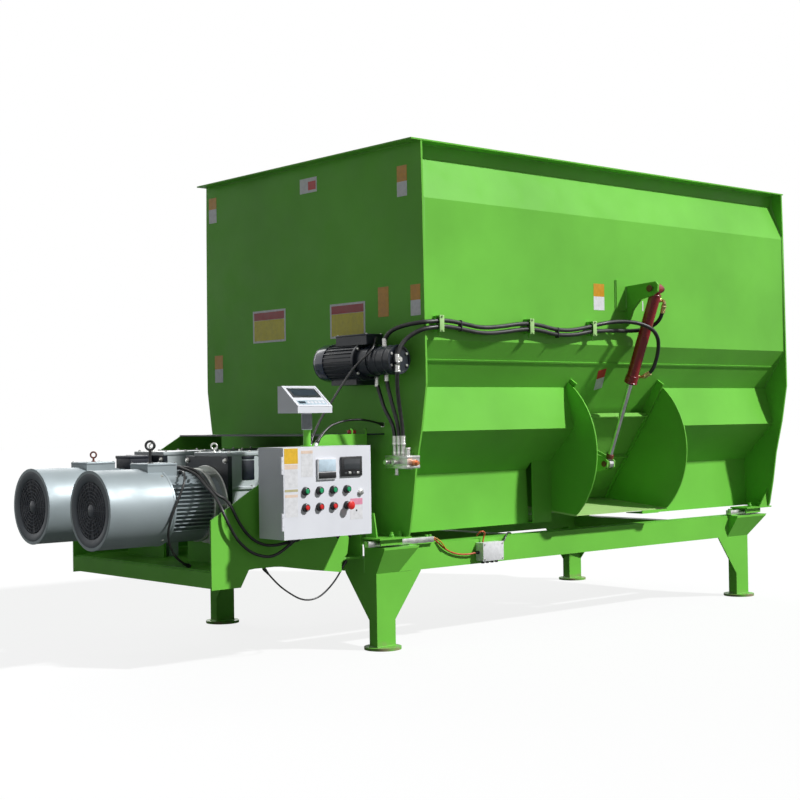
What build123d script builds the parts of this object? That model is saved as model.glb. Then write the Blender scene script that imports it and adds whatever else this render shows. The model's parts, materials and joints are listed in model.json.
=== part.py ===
# Stationary feed mixer: V tub on weigh cells over a four-leg base, two lying augers, two
# motors with gearboxes on side plates ahead of the tub, sliding discharge door.
# Millimetres, +Z up, floor at Z = 0, +X from the motors to the rear, door on the -Y side.
# Origin: floor level, centre of the four feet.
from build123d import *
import math
import os

os.makedirs("parts", exist_ok=True)

# tub
TUB_L = 3345.0
XF = -1517.5                      # outer face of the front plate
XR = XF + TUB_L                   # outer face of the rear plate
PLATE_T = 12.0
SHEET = 8.0
TOP_Z = 2755.0
NECK_H, FLARE_H = 85.0, 230.0     # upright neck under the lip, and the flare below it
AUG_Y, AUG_Z = 205.0, 820.0       # auger axes
TROUGH_R = 200.0                  # inside radius of each trough
WALL_Y = 1030.0                   # outside of the upright wall
BEND_Z = 1673.0                   # where the wall turns inward
NECK_Z = TOP_Z - NECK_H
BEND2_Z = NECK_Z - FLARE_H
NECK_Y = WALL_Y - 83.0
LIP_Y = WALL_Y
END_Y = WALL_Y + 13.0             # half width of the end plates
PLATE_Z0 = AUG_Z - 211.0          # their lower edge
# augers
SHAFT_R = 45.0
FLIGHT_R = 188.0
PITCH = 420.0
FLIGHT_T = 10.0
# base
LEG_X = 1613.5                    # legs' middle, either way from the origin
LEG_W, LEG_D = 132.0, 65.0
RAIL_Z0, RAIL_Z1, RAIL_W = 413.0, 556.0, 100.0
RAIL_Y = 800.0                    # rails' outer face
HEAD_Y = RAIL_Y + 70.0            # outer edge of the legs' heads
LEG_Y = RAIL_Y - LEG_D / 2
FOOT_R, FOOT_T, FOOT_HOLE = 102.0, 15.0, 9.0
GUSSET_X, GUSSET_Y, GUSSET_Z = 190.0, 200.0, 158.0
SIDE_Y = 705.0                    # outside of the drive frame's side plates
# drive
MOT_Y, MOT_Z = 311.0, 812.0
FAN_X0, FAN_X1, FAN_R = XF - 1617.0, XF - 1255.0, 200.0
BODY_X1, BODY_R, FIN_R = XF - 968.0, 158.0, 188.0
FIN_PITCH, FIN_T = 20.0, 6.0
FLANGE_X, FLANGE_T = XF - 920.0, 26.0
GEAR_Z0, GEAR_Z1, GEAR_W = 700.0, 1080.0, 300.0
TRAY_Z = 500.0
# hydraulic motor and pump
PACK_X, PACK_Z = XF - 120.0, 1567.0
PACK_R, PUMP_R = 100.0, 77.0
# door, chute and cylinder
DOOR_X = XF + 1725.0              # middle of the chute
EAR_DX = 425.0                    # ear planes either side of it
DOOR_W = 800.0
DOOR_GAP = 34.0                   # wall outside to door inside
DOOR_T = 10.0
DOOR_TOP, DOOR_LOW = -468.0, -1128.0   # along the wall, from the bend
GUIDE_TOP, GUIDE_LOW = -240.0, -1120.0
PIN_TOP = (-WALL_Y - 200.0, BEND_Z + 337.0)
PIN_EYE = (-WALL_Y + 210.0, BEND_Z - 723.0)
# hoses and cables
HOSE_D, PUMP_HOSE_D = 24.0, 22.0
POWER_D, WIRE_D, CORD_D, BOX_WIRE_D = 16.0, 12.0, 9.0, 10.0
# cabinet
CAB = (XF - 888.0, XF - 317.0, -950.0, -739.0, 650.0, 1113.0)
# cables that hang free between their glands: diameter and route
CABLES = {
    "motor_cable_upper": (POWER_D, [
        (-2650, -290, 1010), (-2570, -370, 1023), (-2549, -472, 940), (-2563, -587, 873), (-2580, -723, 852),
        (-2525, -733, 727), (-2431, -732, 629), (-2305, -746, 599), (-2192, -778, 634)]),
    "motor_cable_lower": (POWER_D, [
        (-2650, -340, 1016), (-2608, -448, 998), (-2600, -552, 918), (-2618, -676, 862), (-2613, -742, 762),
        (-2538, -735, 641), (-2433, -740, 563), (-2309, -765, 547), (-2227, -795, 634)]),
    "motor_cable_down": (WIRE_D, [
        (-2650, -390, 990), (-2665, -447, 1000), (-2700, -510, 950), (-2743, -521, 869), (-2787, -520, 780),
        (-2803, -498, 686), (-2768, -476, 598), (-2702, -454, 534), (-2640, -440, 508)]),
    "hanging_cable": (CORD_D, [
        (-2339, -686, 484), (-2269, -686, 408), (-2185, -686, 348), (-2093, -686, 299), (-1994, -686, 300),
        (-1910, -686, 352), (-1842, -686, 420), (-1800, -686, 484)]),
    "pump_cable": (WIRE_D, [
        (-1637.5, -774, 1684), (-1699, -834, 1626), (-1768, -760, 1545), (-1841, -734, 1442), (-1923, -736, 1341),
        (-2006, -730, 1240), (-2074, -748, 1131)]),
    "plate_cable": (WIRE_D, [
        (-2046, -768, 1131), (-1973, -745, 1205), (-1862, -740, 1241), (-1748, -738, 1251), (-1631, -724, 1240),
        (-1528, -690, 1220)]),
}


def block(x0, x1, y0, y1, z0, z1, mode=Mode.ADD):
    with Locations(((x0 + x1) / 2, (y0 + y1) / 2, (z0 + z1) / 2)):
        Box(x1 - x0, y1 - y0, z1 - z0, mode=mode)


def prism_x(points, x0, x1, mode=Mode.ADD):
    """Closed outline of (y, z) points, from x0 to x1."""
    with BuildSketch(Plane.YZ.offset(x0)) as outline:
        with BuildLine():
            Polyline(*points, close=True)
        make_face()
    extrude(outline.sketch, amount=x1 - x0, mode=mode)


def prism_y(points, y0, y1, mode=Mode.ADD):
    """Closed outline of (x, z) points, from y0 down to y1 (y0 > y1)."""
    with BuildSketch(Plane.XZ.offset(-y0)) as outline:
        with BuildLine():
            Polyline(*points, close=True)
        make_face()
    extrude(outline.sketch, amount=y0 - y1, mode=mode)


def rod(p0, p1, r, r_in=0.0, mode=Mode.ADD):
    a, b = Vector(*p0), Vector(*p1)
    with BuildSketch(Plane(origin=a, z_dir=b - a)) as disc:
        Circle(r)
        if r_in:
            Circle(r_in, mode=Mode.SUBTRACT)
    extrude(disc.sketch, amount=(b - a).length, mode=mode)


def strip(points, t):
    """Outline of a sheet of thickness t to the left of an open run of points."""
    n = len(points)
    out = []
    for i in range(n):
        d = []
        for j in (i - 1, i):
            if 0 <= j < n - 1:
                (ax, ay), (bx, by) = points[j], points[j + 1]
                m = math.hypot(bx - ax, by - ay)
                d.append((-(by - ay) / m, (bx - ax) / m))
        if len(d) == 1:
            d.append(d[0])
        k = 1 + d[0][0] * d[1][0] + d[0][1] * d[1][1]
        out.append((points[i][0] + t * (d[0][0] + d[1][0]) / k,
                    points[i][1] + t * (d[0][1] + d[1][1]) / k))
    return list(points) + out[::-1]


def arc(cy, cz, r, a0, a1, n):
    return [(cy + r * math.cos(math.radians(a0 + (a1 - a0) * i / n)),
             cz + r * math.sin(math.radians(a0 + (a1 - a0) * i / n))) for i in range(n + 1)]


def flip(points):
    return [(-y, z) for y, z in points]


def gland(end, next_point, back, r):
    """Short rod behind a tube's end, in line with its last run."""
    e = Vector(*end)
    way = (e - Vector(*next_point)).normalized()
    rod(tuple(e), tuple(e + way * back), r)


def tube(points, d):
    """Round tube along a run of points, each corner an arc as large as its runs allow."""
    v = [Vector(*p) for p in points]
    radii = []
    for a, b, c in zip(v, v[1:], v[2:]):
        turn = math.radians((b - a).get_angle(c - b))
        radii.append(0.45 * min((b - a).length, (c - b).length) / math.tan(turn / 2))
    with BuildLine() as route:
        FilletPolyline(*v, radius=radii)
    with BuildSketch(Plane(origin=v[0], z_dir=v[1] - v[0])) as disc:
        Circle(d / 2)
    sweep(disc.sketch, path=route.line)
    run = sum(edge.length for edge in route.edges())
    print("tube", d, "length", round(run), "radii", [round(r) for r in radii])


# the sloping wall: tangent from the bend to the trough's outside
R_OUT = TROUGH_R + SHEET
_dy, _dz = WALL_Y - AUG_Y, BEND_Z - AUG_Z
_tan = math.degrees(math.atan2(_dz, _dy) - math.acos(R_OUT / math.hypot(_dy, _dz)))
NY, NZ = math.cos(math.radians(_tan)), math.sin(math.radians(_tan))
TAN_Y, TAN_Z = AUG_Y + R_OUT * NY, AUG_Z + R_OUT * NZ
SLOPE = -NZ / NY                   # y per z of the sloping wall
UP = (0.0, NZ, NY)                 # near wall, along the slope and upward
WALL_PLANE = Plane(origin=(DOOR_X, -WALL_Y, BEND_Z), x_dir=(1, 0, 0), z_dir=(0, -NY, NZ))


def on_wall(s, out):
    """(y, z) at s along the near sloping wall from the bend and out from it."""
    return (-WALL_Y + NZ * s - NY * out, BEND_Z + NY * s + NZ * out)


# end plates
END_HALF = [(LIP_Y - 2, TOP_Z - 8), (LIP_Y + 4, BEND2_Z), (END_Y, BEND_Z - 113), (END_Y, BEND_Z - 236),
            (END_Y - 40, AUG_Z + 382), (END_Y - 93, AUG_Z + 160), (END_Y - 122, AUG_Z - 32),
            (END_Y - 153, AUG_Z - 188), (END_Y - 163, PLATE_Z0)]
END = [(-y, z) for y, z in END_HALF] + END_HALF[::-1]
for name, x0 in (("front_plate", XF), ("rear_plate", XR - PLATE_T)):
    with BuildPart() as end_plate:
        prism_x(END, x0, x0 + PLATE_T)
        for y in (-AUG_Y, AUG_Y):
            rod((x0 - 1, y, AUG_Z), (x0 + PLATE_T + 1, y, AUG_Z), SHAFT_R + 8, mode=Mode.SUBTRACT)
    end_plate.part.label = name
    export_step(end_plate.part, f"parts/{name}.step")

# side walls, near one with the discharge opening
X0, X1 = XF + PLATE_T, XR - PLATE_T
WALL = [(-NECK_Y, TOP_Z - 8), (-NECK_Y, NECK_Z), (-WALL_Y, BEND2_Z), (-WALL_Y, BEND_Z),
        (-TAN_Y + 3 * NZ, TAN_Z + 3 * NY)]
SEAM = [on_wall(-121, 0), on_wall(-132, 0), on_wall(-132, 4), on_wall(-121, 4)]
with BuildPart() as wall_near:
    prism_x(strip(WALL, SHEET), X0, X1)
    prism_x(SEAM, X0, X1)
    with BuildSketch(WALL_PLANE.offset(-30)):
        with Locations((0, -830)):
            Rectangle(DOOR_W - 80, 560)
    extrude(amount=60, mode=Mode.SUBTRACT)
wall_near.part.label = "wall_near"
export_step(wall_near.part, "parts/wall_near.step")

with BuildPart() as wall_far:
    prism_x(flip(strip(WALL, SHEET)), X0, X1)
    prism_x(flip(SEAM), X0, X1)
wall_far.part.label = "wall_far"
export_step(wall_far.part, "parts/wall_far.step")

# double trough under the augers
ARC_END = math.degrees(math.atan2(NZ, -NY))
HALF_ARC = arc(-AUG_Y, AUG_Z, R_OUT, ARC_END + 360 if ARC_END < 0 else ARC_END, 315, 8)
TROUGH = HALF_ARC + flip(HALF_ARC)[::-1]
with BuildPart() as trough:
    prism_x(strip(TROUGH, SHEET), X0, X1)
trough.part.label = "trough"
export_step(trough.part, "parts/trough.step")

# lip round the top: sides, front and rear
with BuildPart() as rim:
    for s in (-1, 1):
        y0, y1 = sorted((s * (NECK_Y - SHEET), s * LIP_Y))
        block(XF - 70, XR + 12, y0, y1, TOP_Z - 8, TOP_Z)
    block(XF - 70, XF + 30, -NECK_Y + SHEET, NECK_Y - SHEET, TOP_Z - 8, TOP_Z)
    block(XR - 30, XR + 12, -NECK_Y + SHEET, NECK_Y - SHEET, TOP_Z - 8, TOP_Z)
rim.part.label = "rim"
export_step(rim.part, "parts/rim.step")

# box stiffeners under the walls: ledge, undercut and lower panel
WZ = lambda z: -WALL_Y + (BEND_Z - z) * SLOPE
LEDGE_Z = BEND_Z - 250
LEDGE = [(WZ(LEDGE_Z) - 5.4, LEDGE_Z), (WZ(LEDGE_Z) - 66, LEDGE_Z - 244), (-SIDE_Y + 20, LEDGE_Z - 490),
         (-SIDE_Y + 5, PLATE_Z0 + 2), (-SIDE_Y + 105, PLATE_Z0 + 2)]
for name, side, xa, xb in (("cover_near_front", -1, X0, DOOR_X - EAR_DX - 170),
                           ("cover_near_rear", -1, DOOR_X + EAR_DX + 170, X1),
                           ("cover_far", 1, X0, X1)):
    with BuildPart() as cover:
        outline = strip(LEDGE, 5)
        prism_x(outline if side < 0 else flip(outline), xa, xb)
    cover.part.label = name
    export_step(cover.part, f"parts/{name}.step")

# the ledge goes on to the ears, over a recess
LEDGE_END = LEDGE[:2] + [(-SIDE_Y - 30, LEDGE_Z - 439), (-SIDE_Y - 30, PLATE_Z0 + 2), LEDGE[4]]
with BuildPart() as ledge_ends:
    for xa, xb in ((DOOR_X - EAR_DX - 170, DOOR_X - EAR_DX - 4), (DOOR_X + EAR_DX + 4, DOOR_X + EAR_DX + 170)):
        prism_x(strip(LEDGE_END, 5), xa, xb)
ledge_ends.part.label = "ledge_ends"
export_step(ledge_ends.part, "parts/ledge_ends.step")

# discharge chute: two round ears and a floor between them
EAR_C, EAR_R = (-600.0, 1035.0), 506.0
with BuildPart() as chute:
    for s in (-1, 1):
        xa = DOOR_X + s * EAR_DX - 4
        with BuildSketch(Plane.YZ.offset(xa)):
            with Locations(EAR_C):
                Circle(EAR_R)
            with BuildLine():
                Polyline((WZ(1673) - 2, 1673), (WZ(600) - 2, 600), (100, 600), (100, 1673), close=True)
            make_face(mode=Mode.SUBTRACT)
            with BuildLine():
                Polyline((-1200, 622), (-300, 711), (-300, 400), (-1200, 400), close=True)
            make_face(mode=Mode.SUBTRACT)
        extrude(amount=8)
    prism_x([(-918, 656), (-918, 650), (WZ(703) - 8, 702), (WZ(709) - 4, 708)],
            DOOR_X - EAR_DX, DOOR_X + EAR_DX)
chute.part.label = "chute"
export_step(chute.part, "parts/chute.step")

# door guides on the sloping wall
with BuildPart() as guides:
    for s in (-1, 1):
        xa = DOOR_X + s * (DOOR_W / 2 + 11)
        prism_x([on_wall(GUIDE_TOP, 0), on_wall(GUIDE_LOW, 0), on_wall(GUIDE_LOW, 56), on_wall(GUIDE_TOP, 56)],
                xa - 6, xa + 6)
guides.part.label = "door_guides"
export_step(guides.part, "parts/door_guides.step")

# sliding door with two ribs and the cylinder's lug
with BuildPart() as door:
    with BuildSketch(WALL_PLANE.offset(DOOR_GAP)):
        with Locations((0, (DOOR_TOP + DOOR_LOW) / 2)):
            Rectangle(DOOR_W, DOOR_TOP - DOOR_LOW)
    extrude(amount=DOOR_T)
    for s in (-520.0, -1090.0):
        with BuildSketch(WALL_PLANE.offset(DOOR_GAP - 2)):
            with Locations((0, s)):
                Rectangle(DOOR_W + 9.4, 40)
        extrude(amount=DOOR_T + 4)
    for s in (DOOR_TOP - 4, -790.0):
        with BuildSketch(WALL_PLANE.offset(DOOR_GAP + DOOR_T)):
            with Locations((0, s)):
                Rectangle(DOOR_W - 20, 8)
        extrude(amount=30)
    for dx in (-36, 26):
        prism_x([on_wall(-720, DOOR_GAP + 6), on_wall(-930, DOOR_GAP + 6),
                 (PIN_EYE[0] + 10, PIN_EYE[1] - 34), (PIN_EYE[0] - 26, PIN_EYE[1] - 20),
                 (PIN_EYE[0] - 30, PIN_EYE[1] + 18), (PIN_EYE[0] - 6, PIN_EYE[1] + 34)],
                DOOR_X + dx, DOOR_X + dx + 10)
    rod((DOOR_X - 40, *PIN_EYE), (DOOR_X + 40, *PIN_EYE), 12)
door.part.label = "discharge_door"
export_step(door.part, "parts/discharge_door.step")

# cylinder bracket: pad on the wall, one plate, pin with a cap
PAD_Y = -WALL_Y - 10
PY, PZ = PIN_TOP
with BuildPart() as bracket:
    block(DOOR_X - 148, DOOR_X - 38, PAD_Y, -WALL_Y, PZ - 120, PZ + 63)
    prism_x([(PAD_Y, PZ + 27), (PY - 38, PZ + 40), (PY - 55, PZ + 20), (PY - 50, PZ - 20), (PY - 10, PZ - 42),
             (PAD_Y - 110, PZ - 60), (PAD_Y - 50, PZ - 120), (PAD_Y - 10, PZ - 210), (-WALL_Y, PZ - 220),
             (-WALL_Y, PZ + 27)], DOOR_X - 60, DOOR_X - 44)
    rod((DOOR_X - 70, PY, PZ), (DOOR_X + 42, PY, PZ), 15)
    rod((DOOR_X + 28, PY, PZ), (DOOR_X + 50, PY, PZ), 20)
bracket.part.label = "cylinder_bracket"
export_step(bracket.part, "parts/cylinder_bracket.step")

# cylinder: barrel on the bracket's pin, rod to the door
CY, CZ = PIN_EYE[0] - PIN_TOP[0], PIN_EYE[1] - PIN_TOP[1]
CL = math.hypot(CY, CZ)
CY, CZ = CY / CL, CZ / CL
BARREL_L = 602.0
PORTS = (70.0, 562.0)              # oil ports along the barrel


def on_cyl(s):
    return (DOOR_X, PIN_TOP[0] + CY * s, PIN_TOP[1] + CZ * s)


with BuildPart() as barrel:
    rod(on_cyl(30), on_cyl(BARREL_L), 36)
    rod(on_cyl(BARREL_L - 40), on_cyl(BARREL_L), 41)
    rod((DOOR_X - 20, *PIN_TOP), (DOOR_X + 20, *PIN_TOP), 32)
    for s in PORTS:
        rod(on_cyl(s), (DOOR_X + 48, *on_cyl(s)[1:]), 15)
    rod(on_cyl(60), on_cyl(BARREL_L + 1), 27, mode=Mode.SUBTRACT)
    rod((DOOR_X - 30, *PIN_TOP), (DOOR_X + 30, *PIN_TOP), 15.05, mode=Mode.SUBTRACT)
barrel.part.label = "cylinder_barrel"
export_step(barrel.part, "parts/cylinder_barrel.step")

# loops of hose to the ports, and an elbow on each port in line with its hose
HOSE_Y = -WALL_Y - 38
LOOP_LOW = [(XF + 1343, HOSE_Y, 1787.6), (XF + 1418.5, HOSE_Y, 1802.5), (XF + 1520, -1102, 1816),
            (XF + 1620, -1160, 1808), (XF + 1705, -1200, 1776), (XF + 1770, -1198, 1722), (XF + 1804, -1172, 1648),
            (XF + 1805, -1146, 1570), (XF + 1797, -1120, 1512), (XF + 1791, -1076, 1492)]
LOOP_TOP = [(XF + 1343, HOSE_Y, 1752.6), (XF + 1445, HOSE_Y, 1760), (XF + 1575, -1064, 1762), (XF + 1690, -1068, 1764),
            (XF + 1762, -1092, 1772), (XF + 1800, -1144, 1796), (XF + 1803, -1199, 1842), (XF + 1796, -1222, 1904)]
with BuildPart() as port_elbows:
    for s, route, knee in ((PORTS[0], LOOP_TOP, (XF + 1793, -1230, 1938)),
                           (PORTS[1], LOOP_LOW, (XF + 1791, -1044, 1486))):
        end, before = Vector(*route[-1]), Vector(*route[-2])
        back = end + (end - before).normalized() * 20
        turn = (XF + 1791, *on_cyl(s)[1:])
        rod((DOOR_X + 48, *on_cyl(s)[1:]), (XF + 1799, *on_cyl(s)[1:]), 12)
        rod(turn, knee, 10)
        rod(knee, tuple(back), 10)
        rod(tuple(end), tuple(back), 13)
port_elbows.part.label = "port_elbows"
export_step(port_elbows.part, "parts/port_elbows.step")

with BuildPart() as piston:
    rod(on_cyl(500), on_cyl(CL - 20), 17)
    rod(on_cyl(470), on_cyl(505), 26.5)
    rod((DOOR_X - 18, *PIN_EYE), (DOOR_X + 18, *PIN_EYE), 34)
    rod((DOOR_X - 20, *PIN_EYE), (DOOR_X + 20, *PIN_EYE), 21, mode=Mode.SUBTRACT)
piston.part.label = "cylinder_rod"
export_step(piston.part, "parts/cylinder_rod.step")

# augers: shaft with flat sector flights, handed to bring the feed to the door
SECTOR = 90
for name, y, hand in (("auger_near", -AUG_Y, 1), ("auger_far", AUG_Y, -1)):
    with BuildPart() as auger:
        rod((XF - 30, y, AUG_Z), (XR + 40, y, AUG_Z), SHAFT_R)
        k = 0
        x = XF + 112.0
        while x < XR - 90:
            turn = hand if x < DOOR_X else -hand
            tilt = math.degrees(math.atan2(PITCH / 4, 2 * 120 * math.sin(math.radians(SECTOR / 2))))
            a = math.radians(90.0 * k * turn)
            radial = (0.0, math.sin(a), math.cos(a))
            across = (0.0, math.cos(a), -math.sin(a))
            t = math.radians(tilt) * turn
            normal = (math.cos(t), -math.sin(t) * across[1], -math.sin(t) * across[2])
            with BuildSketch(Plane(origin=(x, y, AUG_Z), x_dir=radial, z_dir=normal).offset(-FLIGHT_T / 2)):
                with BuildLine():
                    h = SECTOR / 2 + 3
                    pts = [(40 * math.cos(math.radians(v)), 44 * math.sin(math.radians(v)))
                           for v in (-h, 0, h)]
                    out = [(FLIGHT_R * math.cos(math.radians(v)), (FLIGHT_R + 8) * math.sin(math.radians(v)))
                           for v in (h, h * 0.6, h * 0.2, -h * 0.2, -h * 0.6, -h)]
                    Polyline(*pts, *out, close=True)
                make_face()
            extrude(amount=FLIGHT_T)
            k += 1
            x += PITCH / 4
    auger.part.label = name
    export_step(auger.part, f"parts/{name}.step")

# bearing housings at both ends, the rear ones closed
with BuildPart() as bearings:
    for y in (-AUG_Y, AUG_Y):
        rod((XF - 24, y, AUG_Z), (XF, y, AUG_Z), 95)
        rod((XR, y, AUG_Z), (XR + 70, y, AUG_Z), 95)
        rod((XF - 25, y, AUG_Z), (XR + 50, y, AUG_Z), SHAFT_R + 0.06, mode=Mode.SUBTRACT)
bearings.part.label = "bearings"
export_step(bearings.part, "parts/bearings.step")

# legs: round foot, tube, two gussets, and a flared head between rail and weigh cell
RAIL_LOW, RAIL_HIGH = (XF, XF + 2970), (XF + 91, XF + 2990)   # rails' lower and upper ends
for name, sx, sy in (("leg_front_near", -1, -1), ("leg_front_far", -1, 1),
                     ("leg_rear_near", 1, -1), ("leg_rear_far", 1, 1)):
    cx, cy = sx * LEG_X, sy * LEG_Y
    w, d = LEG_W / 2, LEG_D / 2
    outer, inner, face = cx + sx * w, cx - sx * w, sy * RAIL_Y
    with BuildPart() as leg:
        rod((cx, cy, 0), (cx, cy, FOOT_T), FOOT_R)
        block(cx - w, cx + w, cy - d, cy + d, FOOT_T, RAIL_Z0)
        prism_y([(inner, GUSSET_Z), (inner - sx * GUSSET_X, RAIL_Z0 - 6), (inner - sx * GUSSET_X, RAIL_Z0),
                 (inner, RAIL_Z0)], max(face, face - sy * 8), min(face, face - sy * 8))
        prism_x([(cy - sy * d, GUSSET_Z), (cy - sy * (d + GUSSET_Y), RAIL_Z0 - 6),
                 (cy - sy * (d + GUSSET_Y), RAIL_Z0), (cy - sy * d, RAIL_Z0)],
                min(outer, outer - sx * 8), max(outer, outer - sx * 8))
        block(cx - w + 6, cx + w - 6, cy - d + 6, cy + d - 6, FOOT_T, RAIL_Z0 - 8, mode=Mode.SUBTRACT)
        rod((cx, cy, -1), (cx, cy, FOOT_T + 1), FOOT_HOLE, mode=Mode.SUBTRACT)
        head = [(sy * (RAIL_Y - RAIL_W), RAIL_Z0), (sy * RAIL_Y, RAIL_Z0), (sy * HEAD_Y, RAIL_Z1 - 12),
                (sy * HEAD_Y, RAIL_Z1), (sy * (RAIL_Y - RAIL_W), RAIL_Z1)]
        if sx < 0:
            prism_x(head, outer, RAIL_HIGH[0])
            prism_y([(RAIL_LOW[0], RAIL_Z0), (RAIL_HIGH[0], RAIL_Z1), (RAIL_HIGH[0] + 1, RAIL_Z0 - 1),
                     (RAIL_LOW[0], RAIL_Z0 - 1)], HEAD_Y + 1, -HEAD_Y - 1, mode=Mode.SUBTRACT)
        else:
            prism_x(head, RAIL_LOW[1], outer + 126)
            prism_y([(RAIL_LOW[1] - 1, RAIL_Z1 + 1), (RAIL_HIGH[1], RAIL_Z1 + 1), (RAIL_HIGH[1], RAIL_Z1),
                     (RAIL_LOW[1], RAIL_Z0), (RAIL_LOW[1] - 1, RAIL_Z0)],
                    HEAD_Y + 1, -HEAD_Y - 1, mode=Mode.SUBTRACT)
            prism_y([(outer, RAIL_Z0 - 0.5), (outer + 127, RAIL_Z1), (outer + 128, RAIL_Z0 - 0.5)],
                    HEAD_Y + 1, -HEAD_Y - 1, mode=Mode.SUBTRACT)
    leg.part.label = name
    export_step(leg.part, f"parts/{name}.step")

# rails between the heads, and cross beams, open tubes
for name, s in (("rail_near", -1), ("rail_far", 1)):
    y0, y1 = sorted((s * RAIL_Y, s * (RAIL_Y - RAIL_W)))
    with BuildPart() as rail:
        prism_y([(RAIL_LOW[0], RAIL_Z0), (RAIL_LOW[1], RAIL_Z0), (RAIL_HIGH[1], RAIL_Z1), (RAIL_HIGH[0], RAIL_Z1)],
                y1, y0)
        block(RAIL_LOW[0] - 1, XF + TUB_L, y0 + 6, y1 - 6, RAIL_Z0 + 6, RAIL_Z1 - 6, mode=Mode.SUBTRACT)
    rail.part.label = name
    export_step(rail.part, f"parts/{name}.step")

INNER_Y = RAIL_Y - RAIL_W
BEAM_W, BEAM_H = 100.0, 77.0
with BuildPart() as cross:
    for x in (-LEG_X - LEG_W / 2, -BEAM_W / 2, LEG_X + LEG_W / 2 - BEAM_W):
        block(x, x + BEAM_W, -INNER_Y, INNER_Y, RAIL_Z0, RAIL_Z0 + BEAM_H)
        block(x + 6, x + BEAM_W - 6, -INNER_Y - 1, INNER_Y + 1, RAIL_Z0 + 6, RAIL_Z0 + BEAM_H - 6,
              mode=Mode.SUBTRACT)
cross.part.label = "cross_beams"
export_step(cross.part, "parts/cross_beams.step")

# weigh cells: beam on the leg's head, inverted channel over it, welded under the end plate
for name, s in (("cells_near", -1), ("cells_far", 1)):
    y_in, y_out = s * (RAIL_Y - 60), s * (RAIL_Y + 60)
    y_cell = (s * (RAIL_Y - 20), s * (RAIL_Y + 20))
    with BuildPart() as cells:
        for beam, spacer, flange, top, pin, bolts in (
                ((XF - 231, XF + 244), (XF + 60, XF + 244), (XF - 178, XF - 24), (XF - 200, XF + 26), XF - 110,
                 (XF - 80, XF - 20)),
                ((XF + 2985, XF + 3300), (XF + 2995, XF + 3070), (XF + 3104, XF + 3268), (XF + 3090, XR + 26),
                 XF + 3240, (XF + 3180, XF + 3290))):
            block(*spacer, min(y_cell), max(y_cell), RAIL_Z1, RAIL_Z1 + 5)
            block(*beam, min(y_cell), max(y_cell), RAIL_Z1 + 5, RAIL_Z1 + 36)
            rod((pin, s * RAIL_Y, RAIL_Z1 + 36), (pin, s * RAIL_Y, RAIL_Z1 + 45), 16)
            for ya, yb in ((y_out - s * 8, y_out), (y_in, y_in + s * 8)):
                block(*flange, min(ya, yb), max(ya, yb), RAIL_Z1 + 12, RAIL_Z1 + 45)
            block(*top, min(y_in, y_out + s * 20), max(y_in, y_out + s * 20), RAIL_Z1 + 44, PLATE_Z0)
            for x in bolts:
                rod((x, y_out - s * 25, PLATE_Z0 - 1), (x, y_out - s * 25, PLATE_Z0 + 28), 9)
        prism_x([(s * RAIL_Y, PLATE_Z0), (s * (RAIL_Y - 25), PLATE_Z0 + 131), (s * SIDE_Y, PLATE_Z0 + 131),
                 (s * SIDE_Y, PLATE_Z0), (s * (RAIL_Y - 40), PLATE_Z0)], XF - 155, XF - 147)
        prism_y([(XR - PLATE_T, PLATE_Z0), (XR - PLATE_T - 95, PLATE_Z0), (XR - PLATE_T, PLATE_Z0 + 115)],
                max(y_out + s * 8, y_out + s * 16), min(y_out + s * 8, y_out + s * 16))
    cells.part.label = name
    export_step(cells.part, f"parts/{name}.step")

# drive frame: two side plates, front beam, tray, bulkhead, ties to the tub, and deck
SIDE = [(XF - 1160, 404), (XF - 1160, 753), (XF - 420, 1171), (XF - 135, 1171), (XF - 135, 735), (XF - 272, 616),
        (XF - 284, 531), (XF - 326, 480), (XF - 326, 433), (XF - 345, 433), (XF - 527, 458), (XF - 725, 490),
        (XF - 838, 498), (XF - 932, 490), (XF - 983, 404)]
for name, s in (("side_plate_near", -1), ("side_plate_far", 1)):
    y0, y1 = (s * SIDE_Y, s * (SIDE_Y - 10))
    with BuildPart() as side_plate:
        prism_y(SIDE, max(y0, y1), min(y0, y1))
    side_plate.part.label = name
    export_step(side_plate.part, f"parts/{name}.step")

IY = SIDE_Y - 10
with BuildPart() as drive_frame:
    block(XF - 1160, XF - 1080, -IY, IY, TRAY_Z - 88, TRAY_Z - 8)
    block(XF - 1154, XF - 1086, -IY - 1, IY + 1, TRAY_Z - 82, TRAY_Z - 14, mode=Mode.SUBTRACT)
    block(XF - 1150, XF - 180, -IY, IY, TRAY_Z - 8, TRAY_Z)
    block(XF - 180, XF - 168, -IY, IY, TRAY_Z - 8, GEAR_Z0 - 10)
    for y in (-MOT_Y, MOT_Y):
        block(FLANGE_X, FLANGE_X + 16, y - 190, y + 190, TRAY_Z, TRAY_Z + 125)
    route = CABLES["hanging_cable"][1]
    gland(route[0], route[1], 12, 6.5)
    gland(route[-1], route[-2], 10, 6.5)
    route = CABLES["motor_cable_down"][1]
    gland(route[-1], route[-2], 16, 9)
    for y in (-520, 520):
        block(XF - 168, XF, y - 40, y + 40, GEAR_Z0 - 80, GEAR_Z0 - 20)
drive_frame.part.label = "drive_frame"
export_step(drive_frame.part, "parts/drive_frame.step")

with BuildPart() as deck:
    block(XF - 438, XF, -IY, IY, 1163, 1171)
deck.part.label = "deck_plate"
export_step(deck.part, "parts/deck_plate.step")

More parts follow.
